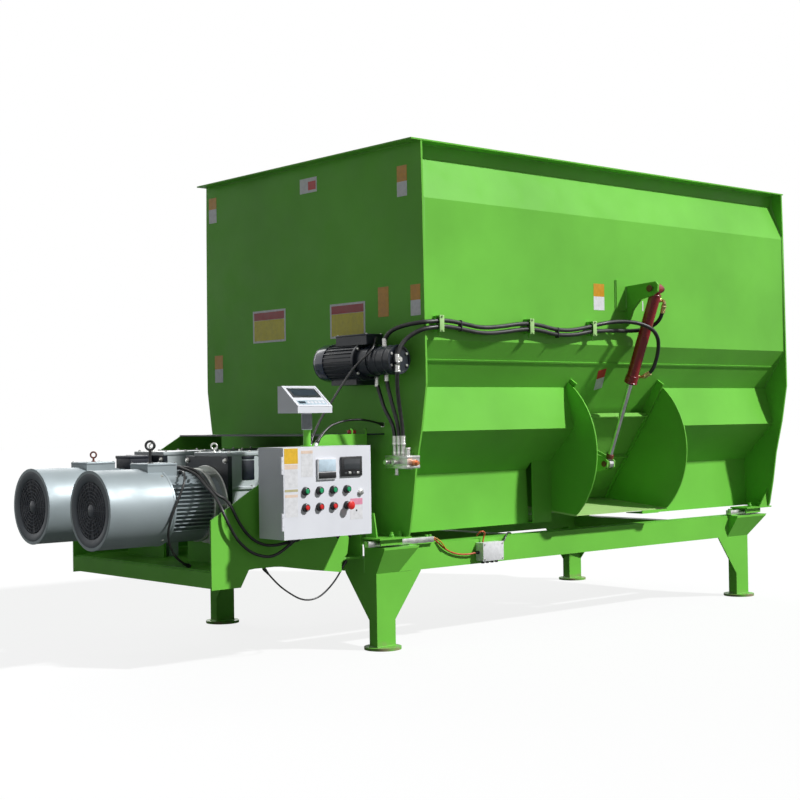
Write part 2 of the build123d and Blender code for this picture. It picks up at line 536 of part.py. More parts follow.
# motors: cover with a recessed fan face, ribbed body, end bell, terminal box with glands
for name, y in (("motor_near", -MOT_Y), ("motor_far", MOT_Y)):
    with BuildPart() as motor:
        rod((FAN_X0, y, MOT_Z), (FAN_X1 + 20, y, MOT_Z), FAN_R)
        rod((FAN_X0 - 1, y, MOT_Z), (FAN_X0 + 12, y, MOT_Z), FAN_R - 14, mode=Mode.SUBTRACT)
        rod((FAN_X1, y, MOT_Z), (BODY_X1, y, MOT_Z), BODY_R)
        for k in range(-6, 7):
            half = math.sqrt(FIN_R ** 2 - (abs(k) * FIN_PITCH + FIN_T / 2) ** 2)
            f = k * FIN_PITCH
            block(FAN_X1, BODY_X1 - 30, y - half, y + half, MOT_Z + f - FIN_T / 2, MOT_Z + f + FIN_T / 2)
            block(FAN_X1, BODY_X1 - 30, y + f - FIN_T / 2, y + f + FIN_T / 2, MOT_Z - half, MOT_Z + half)
        rod((BODY_X1 - 30, y, MOT_Z), (FLANGE_X, y, MOT_Z), BODY_R + 12)
        block(XF - 1332, XF - 1158, y - 85, y + 85, MOT_Z + 118, MOT_Z + 223)
        block(XF - 1298, XF - 1172, y - 109, y - 80, MOT_Z + 94, MOT_Z + 163)
        if y < 0:
            for cable in ("motor_cable_upper", "motor_cable_lower", "motor_cable_down"):
                route = CABLES[cable][1]
                gland(route[0], route[1], 60, CABLES[cable][0] / 2 + 3)
    motor.part.label = name
    export_step(motor.part, f"parts/{name}.step")

# square flanges, and gearboxes behind them with the drive to the augers
with BuildPart() as drive_flanges:
    for y in (-MOT_Y, MOT_Y):
        block(FLANGE_X, FLANGE_X + FLANGE_T, y - 200, y + 200, GEAR_Z0 + 2, GEAR_Z1 - 14)
drive_flanges.part.label = "drive_flanges"
export_step(drive_flanges.part, "parts/drive_flanges.step")

for name, s in (("gearbox_near", -1), ("gearbox_far", 1)):
    y = s * MOT_Y
    with BuildPart() as gearbox:
        block(FLANGE_X + FLANGE_T, XF - 30, y - GEAR_W / 2, y + GEAR_W / 2, GEAR_Z0, GEAR_Z1)
        for x in (XF - 853, XF - 353):
            block(x, x + 60, y - GEAR_W / 2 + 10, y + GEAR_W / 2 - 10, TRAY_Z, GEAR_Z0)
        block(XF - 140, XF - 90, min(s * 110, y), max(s * 110, y), AUG_Z - 100, AUG_Z + 100)
        block(XF - 90, XF - 24.5, s * AUG_Y - 90, s * AUG_Y + 90, AUG_Z - 90, AUG_Z + 90)
        rod((XF - 40, s * AUG_Y, AUG_Z), (XF, s * AUG_Y, AUG_Z), SHAFT_R + 8, mode=Mode.SUBTRACT)
    gearbox.part.label = name
    export_step(gearbox.part, f"parts/{name}.step")

# hydraulic motor with its terminal box, on a shelf of the front plate
with BuildPart() as power_pack:
    rod((PACK_X, -700, PACK_Z), (PACK_X, -346, PACK_Z), PACK_R)
    block(PACK_X - 60, PACK_X + 60, -766, -504, PACK_Z + 89, PACK_Z + 143)
    block(PACK_X - 30, XF, -640, -420, PACK_Z - 127, PACK_Z - 67)
    gland(*CABLES["pump_cable"][1][:2], 20, 9)
power_pack.part.label = "power_pack"
export_step(power_pack.part, "parts/power_pack.step")

# pump on its end, with a fitting for each hose
with BuildPart() as pump:
    rod((PACK_X, -780, PACK_Z), (PACK_X, -700, PACK_Z), PUMP_R + 7)
    rod((PACK_X, -961, PACK_Z), (PACK_X, -780, PACK_Z), PUMP_R)
    rod((XF - 70, -722, 1462), (XF - 70, -722, PACK_Z - 30), 13)
    rod((XF - 70, -803, 1489), (XF - 70, -803, PACK_Z - 30), 13)
    rod((XF - 150, -955, 1546), (XF - 150, -996, 1546), 14)
    rod((XF - 150, -984, 1532), (XF - 150, -984, 1560), 13)
    rod((PACK_X, -847, PACK_Z + 60), (PACK_X, -847, PACK_Z + 84), 13)
pump.part.label = "pump"
export_step(pump.part, "parts/pump.step")

# valve block under it, with a fitting for each hose, and the gland of the plate's cable
with BuildPart() as valve:
    block(XF - 110, XF - 20, -1005, -828, 985, 1050)
    block(XF - 20, XF, -930, -840, 975, 1060)
    for y in (-862, -896, -930):
        rod((XF - 70, y, 1045), (XF - 70, y, 1124), 13)
    rod((XF - 65, -1030, 1013), (XF - 65, -1000, 1013), 14)
    gland(CABLES["plate_cable"][1][-1], CABLES["plate_cable"][1][-2], 8, 9)
    block(XF - 6, XF, -700, -674, 1206, 1230)
valve.part.label = "valve_block"
export_step(valve.part, "parts/valve_block.step")

# hoses from the pump down to the valve block
with BuildPart() as pump_hoses:
    tube([(XF - 70, -722, 1462), (XF - 70, -722, 1436), (XF - 70, -748, 1380), (XF - 70, -778, 1306),
          (XF - 70, -829, 1246), (XF - 70, -862, 1184), (XF - 70, -862, 1124)], PUMP_HOSE_D)
    tube([(XF - 70, -803, 1489), (XF - 70, -803, 1458), (XF - 70, -820, 1400), (XF - 71, -850, 1318),
          (XF - 70, -882, 1240), (XF - 70, -896, 1176), (XF - 70, -896, 1124)], PUMP_HOSE_D)
    tube([(XF - 150, -984, 1532), (XF - 150, -984, 1504), (XF - 144, -973, 1455), (XF - 126, -956, 1390),
          (XF - 103, -943, 1310), (XF - 80, -934, 1227), (XF - 70, -930, 1168), (XF - 70, -930, 1124)],
         PUMP_HOSE_D)
pump_hoses.part.label = "pump_hoses"
export_step(pump_hoses.part, "parts/pump_hoses.step")

# two hoses from the pump along the wall, and their clamps
UPPER_WALL = [(XF + 36, 1769), (XF + 119, 1779), (XF + 236, 1767), (XF + 402, 1743), (XF + 564, 1758),
              (XF + 740, 1782), (XF + 859, 1775), (XF + 1011, 1750), (XF + 1168, 1753), (XF + 1330, 1785)]
LOWER_WALL = [(XF + 36, 1737), (XF + 119, 1747), (XF + 236, 1735), (XF + 401, 1713), (XF + 563, 1724),
              (XF + 739, 1749), (XF + 859, 1746), (XF + 1011, 1720), (XF + 1167, 1726), (XF + 1280, 1748),
              (XF + 1330, 1751.6)]
with BuildPart() as hose_upper:
    tube([(PACK_X, -847, PACK_Z + 84), (PACK_X, -847, PACK_Z + 116), (PACK_X + 20, -878, 1726),
          (XF - 66, -946, 1752), (XF - 30, -1056, 1765)] + [(x, HOSE_Y, z) for x, z in UPPER_WALL], HOSE_D)
hose_upper.part.label = "hose_upper"
export_step(hose_upper.part, "parts/hose_upper.step")

with BuildPart() as hose_lower:
    tube([(XF - 150, -984, 1560), (XF - 150, -984, 1582), (XF - 132, -984, 1628), (XF - 98, -992, 1672),
          (XF - 58, -1022, 1708), (XF - 20, -1056, 1729)] + [(x, HOSE_Y, z) for x, z in LOWER_WALL], HOSE_D)
hose_lower.part.label = "hose_lower"
export_step(hose_lower.part, "parts/hose_lower.step")

with BuildPart() as hose_clamps:
    for x, z0, z1 in ((XF + 84, 1742, 1776), (XF + 784, 1748, 1780), (XF + 1321, 1751, 1783)):
        block(x - 14, x + 14, HOSE_Y + HOSE_D / 2 + 0.5, -WALL_Y, z0 - 26, z1 + 26)
        block(x - 14, x + 14, HOSE_Y - HOSE_D / 2 - 5, HOSE_Y - HOSE_D / 2 - 0.5, z0 - 26, z1 + 26)
        for z in (z0 - 26, z1 + 20):
            block(x - 14, x + 14, HOSE_Y - HOSE_D / 2 - 5, -WALL_Y - 10, z, z + 6)
        rod((x, -WALL_Y - 30, z0 - 50), (x, -WALL_Y - 30, z0 - 26), 6)
hose_clamps.part.label = "hose_clamps"
export_step(hose_clamps.part, "parts/hose_clamps.step")

# loops from the last clamp to the cylinder, at rest
for name, route in (("hose_loop_low", LOOP_LOW), ("hose_loop_top", LOOP_TOP)):
    with BuildPart() as loop:
        tube(route, HOSE_D)
    loop.part.label = name
    export_step(loop.part, f"parts/{name}.step")

# control cabinet, hollow, with a hinged front
CX0, CX1, CY0, CY1, CZ0, CZ1 = CAB
HX, HY = CX0 - 10, CY0 + 2         # hinge axis of the cabinet's front
HINGE_Z = (CZ0 + 90, CZ1 - 90)
with BuildPart() as cabinet:
    block(CX0, CX1, CY0 + 6, CY1, CZ0, CZ1)
    block(CX0 + 4, CX1 - 4, CY0, CY1 - 4, CZ0 + 4, CZ1 - 4, mode=Mode.SUBTRACT)
    for z in (CZ0 + 60, CZ1 - 60):
        block(CX0 + 60, CX1 - 60, CY1, -SIDE_Y, z - 20, z + 20)
    for z in HINGE_Z:
        rod((HX, HY, z - 44), (HX, HY, z + 44), 4)
        for za in (z - 44, z + 22):
            rod((HX, HY, za), (HX, HY, za + 22), 8)
            block(HX, CX0 + 4, HY + 2, HY + 8, za, za + 22)
    for cable, end, near, back in (("motor_cable_upper", -1, -2, 60), ("motor_cable_lower", -1, -2, 24),
                                   ("pump_cable", -1, -2, 24), ("plate_cable", 0, 1, 28)):
        d, route = CABLES[cable]
        gland(route[end], route[near], back, d / 2 + 3)
cabinet.part.label = "cabinet"
export_step(cabinet.part, "parts/cabinet.step")

with BuildPart() as cab_door:
    block(CX0, CX1, CY0, CY0 + 4, CZ0, CZ1)
    for i in range(4):
        for z in (CZ0 + 240, CZ0 + 157):
            rod((CX0 + 136 + i * 90, CY0 - 16, z), (CX0 + 136 + i * 90, CY0, z), 16)
    block(CX0 + 213, CX0 + 332, CY0 - 8, CY0, CZ0 + 297, CZ0 + 401)
    block(CX0 + 367, CX0 + 503, CY0 - 8, CY0, CZ0 + 308, CZ0 + 406)
    rod((CX0 + 497, CY0 - 10, CZ0 + 220), (CX0 + 497, CY0, CZ0 + 220), 14)
    for z in HINGE_Z:
        rod((HX, HY, z - 20), (HX, HY, z + 20), 8)
        block(HX, CX0 + 30, CY0, CY0 + 4, z - 20, z + 20)
        rod((HX, HY, z - 21), (HX, HY, z + 21), 4.05, mode=Mode.SUBTRACT)
cab_door.part.label = "cabinet_door"
export_step(cab_door.part, "parts/cabinet_door.step")

# weighing display on its post: sloping face between two sides
DISP_X0, DISP_X1 = XF - 788, XF - 566
with BuildPart() as display:
    rod((XF - 632, -815, CZ1), (XF - 632, -815, 1290), 18)
    rod((XF - 632, -815, 1200), (XF - 632, -815, 1290), 26)
    prism_x([(-946, 1286), (-946, 1318), (-806, 1425), (-776, 1425), (-776, 1286)], DISP_X0, DISP_X1)
display.part.label = "weigh_display"
export_step(display.part, "parts/weigh_display.step")

# junction box on the rail, and its two clipped cables
BOX_X0, BOX_X1 = XF + 586, XF + 748
with BuildPart() as jbox:
    block(BOX_X0, BOX_X1, -RAIL_Y - 60, -RAIL_Y, 430, 534)
jbox.part.label = "junction_box"
export_step(jbox.part, "parts/junction_box.step")

with BuildPart() as box_cables:
    tube([(XF + 244, -RAIL_Y, 578), (XF + 262, -RAIL_Y, 578), (XF + 296, -RAIL_Y - 12, 542),
          (XF + 356, -RAIL_Y - 12, 502), (XF + 430, -RAIL_Y - 13, 478), (XF + 510, -RAIL_Y - 18, 472),
          (XF + 560, -RAIL_Y - 22, 478), (BOX_X0, -RAIL_Y - 22, 478)], BOX_WIRE_D)
    tube([(BOX_X1, -RAIL_Y - 24, 506), (BOX_X1 + 20, -RAIL_Y - 24, 506), (BOX_X1 + 52, -RAIL_Y - 20, 536),
          (BOX_X1 + 84, -RAIL_Y - 8, 568), (BOX_X1 + 118, -RAIL_Y + 10, 574), (BOX_X1 + 150, -RAIL_Y + 24, 566)],
         BOX_WIRE_D)
box_cables.part.label = "box_cables"
export_step(box_cables.part, "parts/box_cables.step")

# the free cables
for name, (d, points) in CABLES.items():
    with BuildPart() as cable:
        tube(points, d)
    cable.part.label = name
    export_step(cable.part, f"parts/{name}.step")
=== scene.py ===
# Stationary feed mixer: paint, metal, cables and fittings over the CAD frame, in metres.
import json
import math

import bmesh
import bpy
from mathutils import Matrix, Vector


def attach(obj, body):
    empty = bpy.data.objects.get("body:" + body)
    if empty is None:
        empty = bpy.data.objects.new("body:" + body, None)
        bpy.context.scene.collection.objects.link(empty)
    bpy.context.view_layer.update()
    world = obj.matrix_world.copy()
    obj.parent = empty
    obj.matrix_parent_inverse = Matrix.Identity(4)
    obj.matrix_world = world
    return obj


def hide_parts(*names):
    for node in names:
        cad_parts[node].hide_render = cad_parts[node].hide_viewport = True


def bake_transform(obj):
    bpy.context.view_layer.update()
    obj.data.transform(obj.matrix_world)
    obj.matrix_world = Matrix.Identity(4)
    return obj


bl_info = {
    "name": "Stationary feed mixer",
    "version": (1, 1, 0),
    "blender": (4, 5, 0),
    "location": "View3D > Sidebar > Mixer",
    "description": "Paints and fits out a stationary feed mixer",
    "category": "Object",
}

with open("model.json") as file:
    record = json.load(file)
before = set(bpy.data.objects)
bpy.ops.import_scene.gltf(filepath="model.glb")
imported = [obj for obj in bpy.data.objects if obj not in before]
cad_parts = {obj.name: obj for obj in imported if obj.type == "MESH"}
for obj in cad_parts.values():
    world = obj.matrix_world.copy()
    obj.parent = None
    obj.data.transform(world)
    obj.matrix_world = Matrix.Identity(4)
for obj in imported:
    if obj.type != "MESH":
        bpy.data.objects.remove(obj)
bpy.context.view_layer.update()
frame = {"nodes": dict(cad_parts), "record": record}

# axes, and the places that several pieces share, as in the part's source
X, Y, Z = Vector((1, 0, 0)), Vector((0, 1, 0)), Vector((0, 0, 1))
XF, XR = -1.5175, 1.8275           # outer faces of the front and rear plates
AUG_Y, AUG_Z = 0.205, 0.82         # axes of augers and motors
MOT_Y, MOT_Z = 0.311, 0.812
DOOR_X = 0.2075                    # plane of the door's cylinder, and its pins in (y, z)
PIN_TOP, PIN_EYE = (-1.23, 2.01), (-0.82, 0.95)
CYL = Vector((0, PIN_EYE[0] - PIN_TOP[0], PIN_EYE[1] - PIN_TOP[1])).normalized()
CAB_Y, CAB_Z0 = -0.95, 0.65        # cabinet's front and underside
# a wall's outline from rim to bend, in (y, z)
WALL = [(0.947, 2.747), (0.947, 2.67), (1.03, 2.44), (1.03, 1.673)]

# free cables: diameter, length and the route's points
CABLES = {
    "motor_cable_upper": (0.016, 0.996, [
        (-2.65, -0.29, 1.01), (-2.57, -0.37, 1.023), (-2.549, -0.472, 0.94),
        (-2.563, -0.587, 0.873), (-2.58, -0.723, 0.852), (-2.525, -0.733, 0.727),
        (-2.431, -0.732, 0.629), (-2.305, -0.746, 0.599), (-2.192, -0.778, 0.634)]),
    "motor_cable_lower": (0.016, 0.998, [
        (-2.65, -0.34, 1.016), (-2.608, -0.448, 0.998), (-2.6, -0.552, 0.918),
        (-2.618, -0.676, 0.862), (-2.613, -0.742, 0.762), (-2.538, -0.735, 0.641),
        (-2.433, -0.74, 0.563), (-2.309, -0.765, 0.547), (-2.227, -0.795, 0.634)]),
    "motor_cable_down": (0.012, 0.686, [
        (-2.65, -0.39, 0.99), (-2.665, -0.447, 1), (-2.7, -0.51, 0.95),
        (-2.743, -0.521, 0.869), (-2.787, -0.52, 0.78), (-2.803, -0.498, 0.686),
        (-2.768, -0.476, 0.598), (-2.702, -0.454, 0.534), (-2.64, -0.44, 0.508)]),
    "hanging_cable": (0.009, 0.676, [
        (-2.339, -0.686, 0.484), (-2.269, -0.686, 0.408), (-2.185, -0.686, 0.348),
        (-2.093, -0.686, 0.299), (-1.994, -0.686, 0.3), (-1.91, -0.686, 0.352),
        (-1.842, -0.686, 0.42), (-1.8, -0.686, 0.484)]),
    "pump_cable": (0.012, 0.738, [
        (-1.6375, -0.774, 1.684), (-1.699, -0.834, 1.626), (-1.768, -0.76, 1.545),
        (-1.841, -0.734, 1.442), (-1.923, -0.736, 1.341), (-2.006, -0.73, 1.24),
        (-2.074, -0.748, 1.131)]),
    "plate_cable": (0.012, 0.563, [
        (-2.046, -0.768, 1.131), (-1.973, -0.745, 1.205), (-1.862, -0.74, 1.241),
        (-1.748, -0.738, 1.251), (-1.631, -0.724, 1.24), (-1.528, -0.69, 1.22)]),
}

HOSE_Y = -1.068
# hydraulic hoses and clipped wires: diameter, the CAD node each stands for, and the route's points
HOSES = {
    "wall_hose_upper": (0.024, "hose_upper", [
        (-1.6375, -0.847, 1.651), (-1.6375, -0.847, 1.683), (-1.6175, -0.878, 1.726),
        (-1.5835, -0.946, 1.752), (-1.5475, -1.056, 1.765), (-1.4815, HOSE_Y, 1.769),
        (-1.3985, HOSE_Y, 1.779), (-1.2815, HOSE_Y, 1.767), (-1.1155, HOSE_Y, 1.743),
        (-0.9535, HOSE_Y, 1.758), (-0.7775, HOSE_Y, 1.782), (-0.6585, HOSE_Y, 1.775),
        (-0.5065, HOSE_Y, 1.75), (-0.3495, HOSE_Y, 1.753), (-0.1875, HOSE_Y, 1.785)]),
    "wall_hose_lower": (0.024, "hose_lower", [
        (-1.6675, -0.984, 1.56), (-1.6675, -0.984, 1.582), (-1.6495, -0.984, 1.628),
        (-1.6155, -0.992, 1.672), (-1.5755, -1.022, 1.708), (-1.5375, -1.056, 1.729),
        (-1.4815, HOSE_Y, 1.737), (-1.3985, HOSE_Y, 1.747), (-1.2815, HOSE_Y, 1.735),
        (-1.1165, HOSE_Y, 1.713), (-0.9545, HOSE_Y, 1.724), (-0.7785, HOSE_Y, 1.749),
        (-0.6585, HOSE_Y, 1.746), (-0.5065, HOSE_Y, 1.72), (-0.3505, HOSE_Y, 1.726),
        (-0.2375, HOSE_Y, 1.748), (-0.1875, HOSE_Y, 1.7516)]),
    "pump_hose_inner": (0.022, "pump_hoses", [
        (-1.5875, -0.722, 1.462), (-1.5875, -0.722, 1.436), (-1.5875, -0.748, 1.38),
        (-1.5875, -0.778, 1.306), (-1.5875, -0.829, 1.246), (-1.5875, -0.862, 1.184),
        (-1.5875, -0.862, 1.124)]),
    "pump_hose_middle": (0.022, "pump_hoses", [
        (-1.5875, -0.803, 1.489), (-1.5875, -0.803, 1.458), (-1.5875, -0.82, 1.4),
        (-1.5885, -0.85, 1.318), (-1.5875, -0.882, 1.24), (-1.5875, -0.896, 1.176),
        (-1.5875, -0.896, 1.124)]),
    "pump_hose_outer": (0.022, "pump_hoses", [
        (-1.6675, -0.984, 1.532), (-1.6675, -0.984, 1.504), (-1.6615, -0.973, 1.455),
        (-1.6435, -0.956, 1.39), (-1.6205, -0.943, 1.31), (-1.5975, -0.934, 1.227),
        (-1.5875, -0.93, 1.168), (-1.5875, -0.93, 1.124)]),
    "box_cable_left": (0.01, "box_cables", [
        (-1.2735, -0.8, 0.578), (-1.2555, -0.8, 0.578), (-1.2215, -0.812, 0.542),
        (-1.1615, -0.812, 0.502), (-1.0875, -0.813, 0.478), (-1.0075, -0.818, 0.472),
        (-0.9575, -0.822, 0.478), (-0.9315, -0.822, 0.478)]),
    "box_cable_right": (0.01, "box_cables", [
        (-0.7695, -0.824, 0.506), (-0.7495, -0.824, 0.506), (-0.7175, -0.82, 0.536),
        (-0.6855, -0.808, 0.568), (-0.6515, -0.79, 0.574), (-0.6195, -0.776, 0.566)]),
}
# loops from the last clamp to the cylinder: oil port, CAD node and route
LOOPS = {
    "loop_to_low_port": (0.562, "hose_loop_low", [
        (-0.19, HOSE_Y, 1.7845), (-0.099, HOSE_Y, 1.8025), (0.0025, -1.102, 1.816),
        (0.1025, -1.16, 1.808), (0.1875, -1.2, 1.776), (0.2525, -1.198, 1.722),
        (0.2865, -1.172, 1.648), (0.2875, -1.146, 1.57), (0.2795, -1.12, 1.512),
        (0.2735, -1.076, 1.492)]),
    "loop_to_top_port": (0.07, "hose_loop_top", [
        (-0.19, HOSE_Y, 1.7515), (-0.0725, HOSE_Y, 1.76), (0.0575, -1.064, 1.762),
        (0.1725, -1.068, 1.764), (0.2445, -1.092, 1.772), (0.2825, -1.144, 1.796),
        (0.2855, -1.199, 1.842), (0.2785, -1.222, 1.904)]),
}


def colour_setting(name, description, default):
    return bpy.props.FloatVectorProperty(name=name, description=description, subtype="COLOR", size=3,
                                         min=0, max=1, default=default)


def length_setting(name, description, default, low, high):
    return bpy.props.FloatProperty(name=name, description=description, unit="LENGTH",
                                   default=default, min=low, max=high)


def count_setting(name, description, default, low, high):
    return bpy.props.IntProperty(name=name, description=description, default=default, min=low, max=high)


def angle_setting(name, description, degrees):
    return bpy.props.FloatProperty(name=name, description=description, subtype="ANGLE",
                                   default=math.radians(degrees))


def vector_setting(name, description, default, subtype="XYZ"):
    return bpy.props.FloatVectorProperty(name=name, description=description, subtype=subtype, size=3,
                                         default=default)


def power_setting(name, description, default):
    return bpy.props.FloatProperty(name=name, description=description, default=default, min=0)


class MixerPaints(bpy.types.PropertyGroup):
    """Colours of the mixer's finishes."""

    green: colour_setting("Green paint", "Gloss paint of tub, base and drive frame", (0.165, 0.53, 0.062))
    deck: colour_setting("Deck", "Dark plate over the gearboxes", (0.03, 0.042, 0.05))
    motor: colour_setting("Motor grey", "Silver-grey paint of the motors", (0.33, 0.38, 0.4))
    gearbox: colour_setting("Gearbox grey", "Light grey paint of the gearboxes", (0.5, 0.55, 0.56))
    pump: colour_setting("Pump black", "Blue-black paint of hydraulic motor and pump", (0.012, 0.017, 0.026))
    cabinet: colour_setting("Cabinet white", "Powder coat of the control cabinet", (0.78, 0.79, 0.84))
    cylinder: colour_setting("Cylinder red", "Paint of the door cylinder", (0.3, 0.012, 0.018))
    rubber: colour_setting("Hose black", "Rubber of the hoses", (0.012, 0.012, 0.013))
    steel: colour_setting("Auger steel", "Bare steel of the augers", (0.46, 0.45, 0.43))


class MixerSizes(bpy.types.PropertyGroup):
    """Sizes of the fittings that this file adds to the CAD nodes."""

    bead: length_setting("Weld bead", "Radius of the weld beads", 0.0042, 0.001, 0.01)
    bolt: length_setting("Bolt", "Half the width of a bolt's washer", 0.014, 0.004, 0.03)
    eye_ring: length_setting("Eye bolt", "Radius of the near motor's lifting ring", 0.022, 0.01, 0.05)
    guard_wires: count_setting("Guard wires", "Wire rings in each fan guard", 6, 2, 12)
    fan_blades: count_setting("Fan blades", "Blades of each motor's fan", 9, 3, 16)
    flight_steps: count_setting("Flight steps", "Steps in one turn of an auger's flight", 40, 12, 72)
    pitch: length_setting("Pitch", "Length of one turn of an auger's flight", 0.42, 0.2, 0.8)
    button: length_setting("Button", "Radius of the cabinet's push buttons", 0.0125, 0.005, 0.03)


class MixerStage(bpy.types.PropertyGroup):
    """Camera, lamps and floor."""

    eye: vector_setting("Eye", "Where the camera stands", (-6.799, -6.857, 1.248), "TRANSLATION")
    heading: angle_setting("Heading", "Direction of view, from +X towards +Y", 48.7713)
    tilt: angle_setting("Tilt", "How far the camera looks up", 0.7444)
    roll: angle_setting("Roll", "Turn of the camera about its line of sight", -0.8684)
    lens: bpy.props.FloatProperty(
        name="Lens", description="Focal length on a 36 mm wide sensor",
        subtype="DISTANCE_CAMERA", default=66.02, min=10, max=300)
    sun_from: vector_setting("Key light from", "Direction of the key light", (0.42, -0.62, 0.66))
    fill_from: vector_setting("Fill light from", "Direction of the soft rear light", (0.25, 0.85, 0.4))
    key_power: power_setting("Key light", "Strength of the key light", 4.2)
    fill_power: power_setting("Fill light", "Strength of the soft rear light", 1.1)
    sky_power: power_setting("Sky", "Strength of the light from all round", 0.14)


# nodes of a finish

def feed(tree, value, socket):
    """Give an input another node's output, a number or a tuple."""
    if isinstance(value, bpy.types.NodeSocket):
        tree.links.new(value, socket)
    elif socket.type == "RGBA":
        socket.default_value = (*value, 1)
    else:
        socket.default_value = value


def node(tree, kind, output, inputs, **settings):
    """Add a node with its settings and inputs, and give one of its outputs."""
    made = tree.nodes.new("ShaderNode" + kind)
    for name, value in settings.items():
        setattr(made, name, value)
    for name, value in inputs.items():
        feed(tree, value, made.inputs[name])
    return made.outputs[output]


def shade(colour, k):
    return tuple(min(1, c * k) for c in colour)


class Surface:
    """Material whose colour, roughness and relief vary with the place on the piece."""

    def __init__(self, name, roughness, **values):
        self.material = bpy.data.materials.new(name)
        self.material.use_nodes = True
        self.tree = self.material.node_tree
        self.inputs = self.tree.nodes["Principled BSDF"].inputs
        self.roughness = roughness
        for socket, value in values.items():
            self.inputs[socket.replace("_", " ")].default_value = value
        self.place = node(self.tree, "TexCoord", "Object", {})

    def noise(self, scale, detail=3, rough=0.55, place=None):
        return node(self.tree, "TexNoise", "Fac", {
            "Vector": place or self.place, "Scale": scale, "Detail": detail, "Roughness": rough})

    def spread(self, value, low, high, to_low=0, to_high=1):
        """A value between low and high taken to another span, and held there outside it."""
        return node(self.tree, "MapRange", "Result", {
            "Value": value, "From Min": low, "From Max": high, "To Min": to_low, "To Max": to_high})

    def mixed(self, share, first, second):
        return node(self.tree, "Mix", 2, {0: share, 6: first, 7: second}, data_type="RGBA")

    def bump(self, height, strength, distance, after=None):
        inputs = {"Height": height, "Strength": strength, "Distance": distance}
        if after:
            inputs["Normal"] = after
        return node(self.tree, "Bump", "Normal", inputs)

    def low_dust(self, top):
        """Share of dust that settles on a machine's lowest parts."""
        height = node(self.tree, "SeparateXYZ", "Z", {0: self.place})
        cloud = self.spread(self.noise(14, 5), 0.35, 0.62)
        return node(self.tree, "Math", 0, {0: self.spread(height, top, top * 0.15), 1: cloud},
                    operation="MULTIPLY")

    def chute_floor(self):
        """Share of pale feed dust: 1 on the chute's sloping floor, 0 on its upright sides."""
        height = node(self.tree, "VectorMath", "Value", {0: self.place, 1: (0, -0.0967, 1)},
                      operation="DOT_PRODUCT")
        return self.spread(height, 0.752, 0.746)

    def done(self, body, gloss, low, high, relief):
        """Material with its colour, its relief and a roughness that wanders about its own."""
        rough = self.spread(gloss, 0.3, 0.7, self.roughness * low, self.roughness * high)
        for socket, value in (("Base Color", body), ("Roughness", rough), ("Normal", relief)):
            feed(self.tree, value, self.inputs[socket])
        return self.material


def paint(name, colour, roughness=0.34, grain=900, waves=0, shine=0.5, coat=0, dust=0, metallic=0,
          pale=None):
    """Sprayed paint: cloudy colour, fine specks, orange peel, and waves where the sheet is thin."""
    f = Surface(name, roughness, Metallic=metallic, Specular_IOR_Level=shine, Coat_Weight=coat,
               Coat_Roughness=0.12)
    clouds = f.spread(f.noise(1.3, 4), 0.32, 0.68)
    body = f.mixed(clouds, shade(colour, 0.86), shade(colour, 1.08))
    body = f.mixed(f.spread(f.noise(85, 4, 0.7), 0.66, 0.74, 0, 0.35), body, shade(colour, 0.55))
    if dust:
        body = f.mixed(f.low_dust(dust), body, (0.3, 0.24, 0.16))
    if pale:
        body = f.mixed(f.chute_floor(), body, pale)
    relief = f.bump(f.noise(grain, 2), 0.08, 0.0006)
    if waves:
        relief = f.bump(f.noise(2.2, 2), waves, 0.02, relief)
    return f.done(body, f.noise(6, 4), 0.8, 1.3, relief)


def metal(name, colour, roughness=0.35, scale=(1, 1, 1), stain=None):
    """Bare or plated metal: fine drawn scratches, and stains where given."""
    f = Surface(name, roughness, Metallic=1)
    lines = f.noise(260, 3, 0.7, node(f.tree, "Mapping", "Vector", {"Vector": f.place, "Scale": scale}))
    patches = f.spread(f.noise(22, 4), 0.35, 0.65)
    body = f.mixed(patches, shade(colour, 0.8), shade(colour, 1.1))
    if stain:
        body = f.mixed(f.spread(f.noise(7, 6, 0.65), 0.5, 0.72), body, stain)
    return f.done(body, lines, 0.7, 1.5, f.bump(lines, 0.12, 0.0004))


def rubber(name, colour, roughness=0.42):
    """Hose cover or cable sheath: dusty black with a faint moulding mark."""
    f = Surface(name, roughness)
    film = f.spread(f.noise(30, 5, 0.6), 0.45, 0.75, 0, 0.5)
    body = f.mixed(film, colour, (0.055, 0.052, 0.048))
    return f.done(body, f.noise(12, 3), 0.75, 1.35, f.bump(f.noise(700, 3), 0.2, 0.0006))


def plastic(name, colour, roughness=0.3, grain=1500):
    """Moulded plastic or printed foil: even colour, slight handling marks, fine texture."""
    f = Surface(name, roughness)
    body = f.mixed(f.spread(f.noise(40, 4, 0.6), 0.4, 0.7), colour, shade(colour, 0.84))
    return f.done(body, f.noise(25, 3), 0.8, 1.3, f.bump(f.noise(grain, 1), 0.06, 0.0003))


def cast(name, colour, roughness=0.5, metallic=0):
    """Painted casting: sandy skin and cloudy darker patches."""
    f = Surface(name, roughness, Metallic=metallic)
    body = f.mixed(f.spread(f.noise(9, 5), 0.35, 0.68), shade(colour, 0.78), shade(colour, 1.12))
    return f.done(body, f.noise(15, 4), 0.8, 1.25, f.bump(f.noise(380, 3), 0.25, 0.0008))


FINISHES = {}


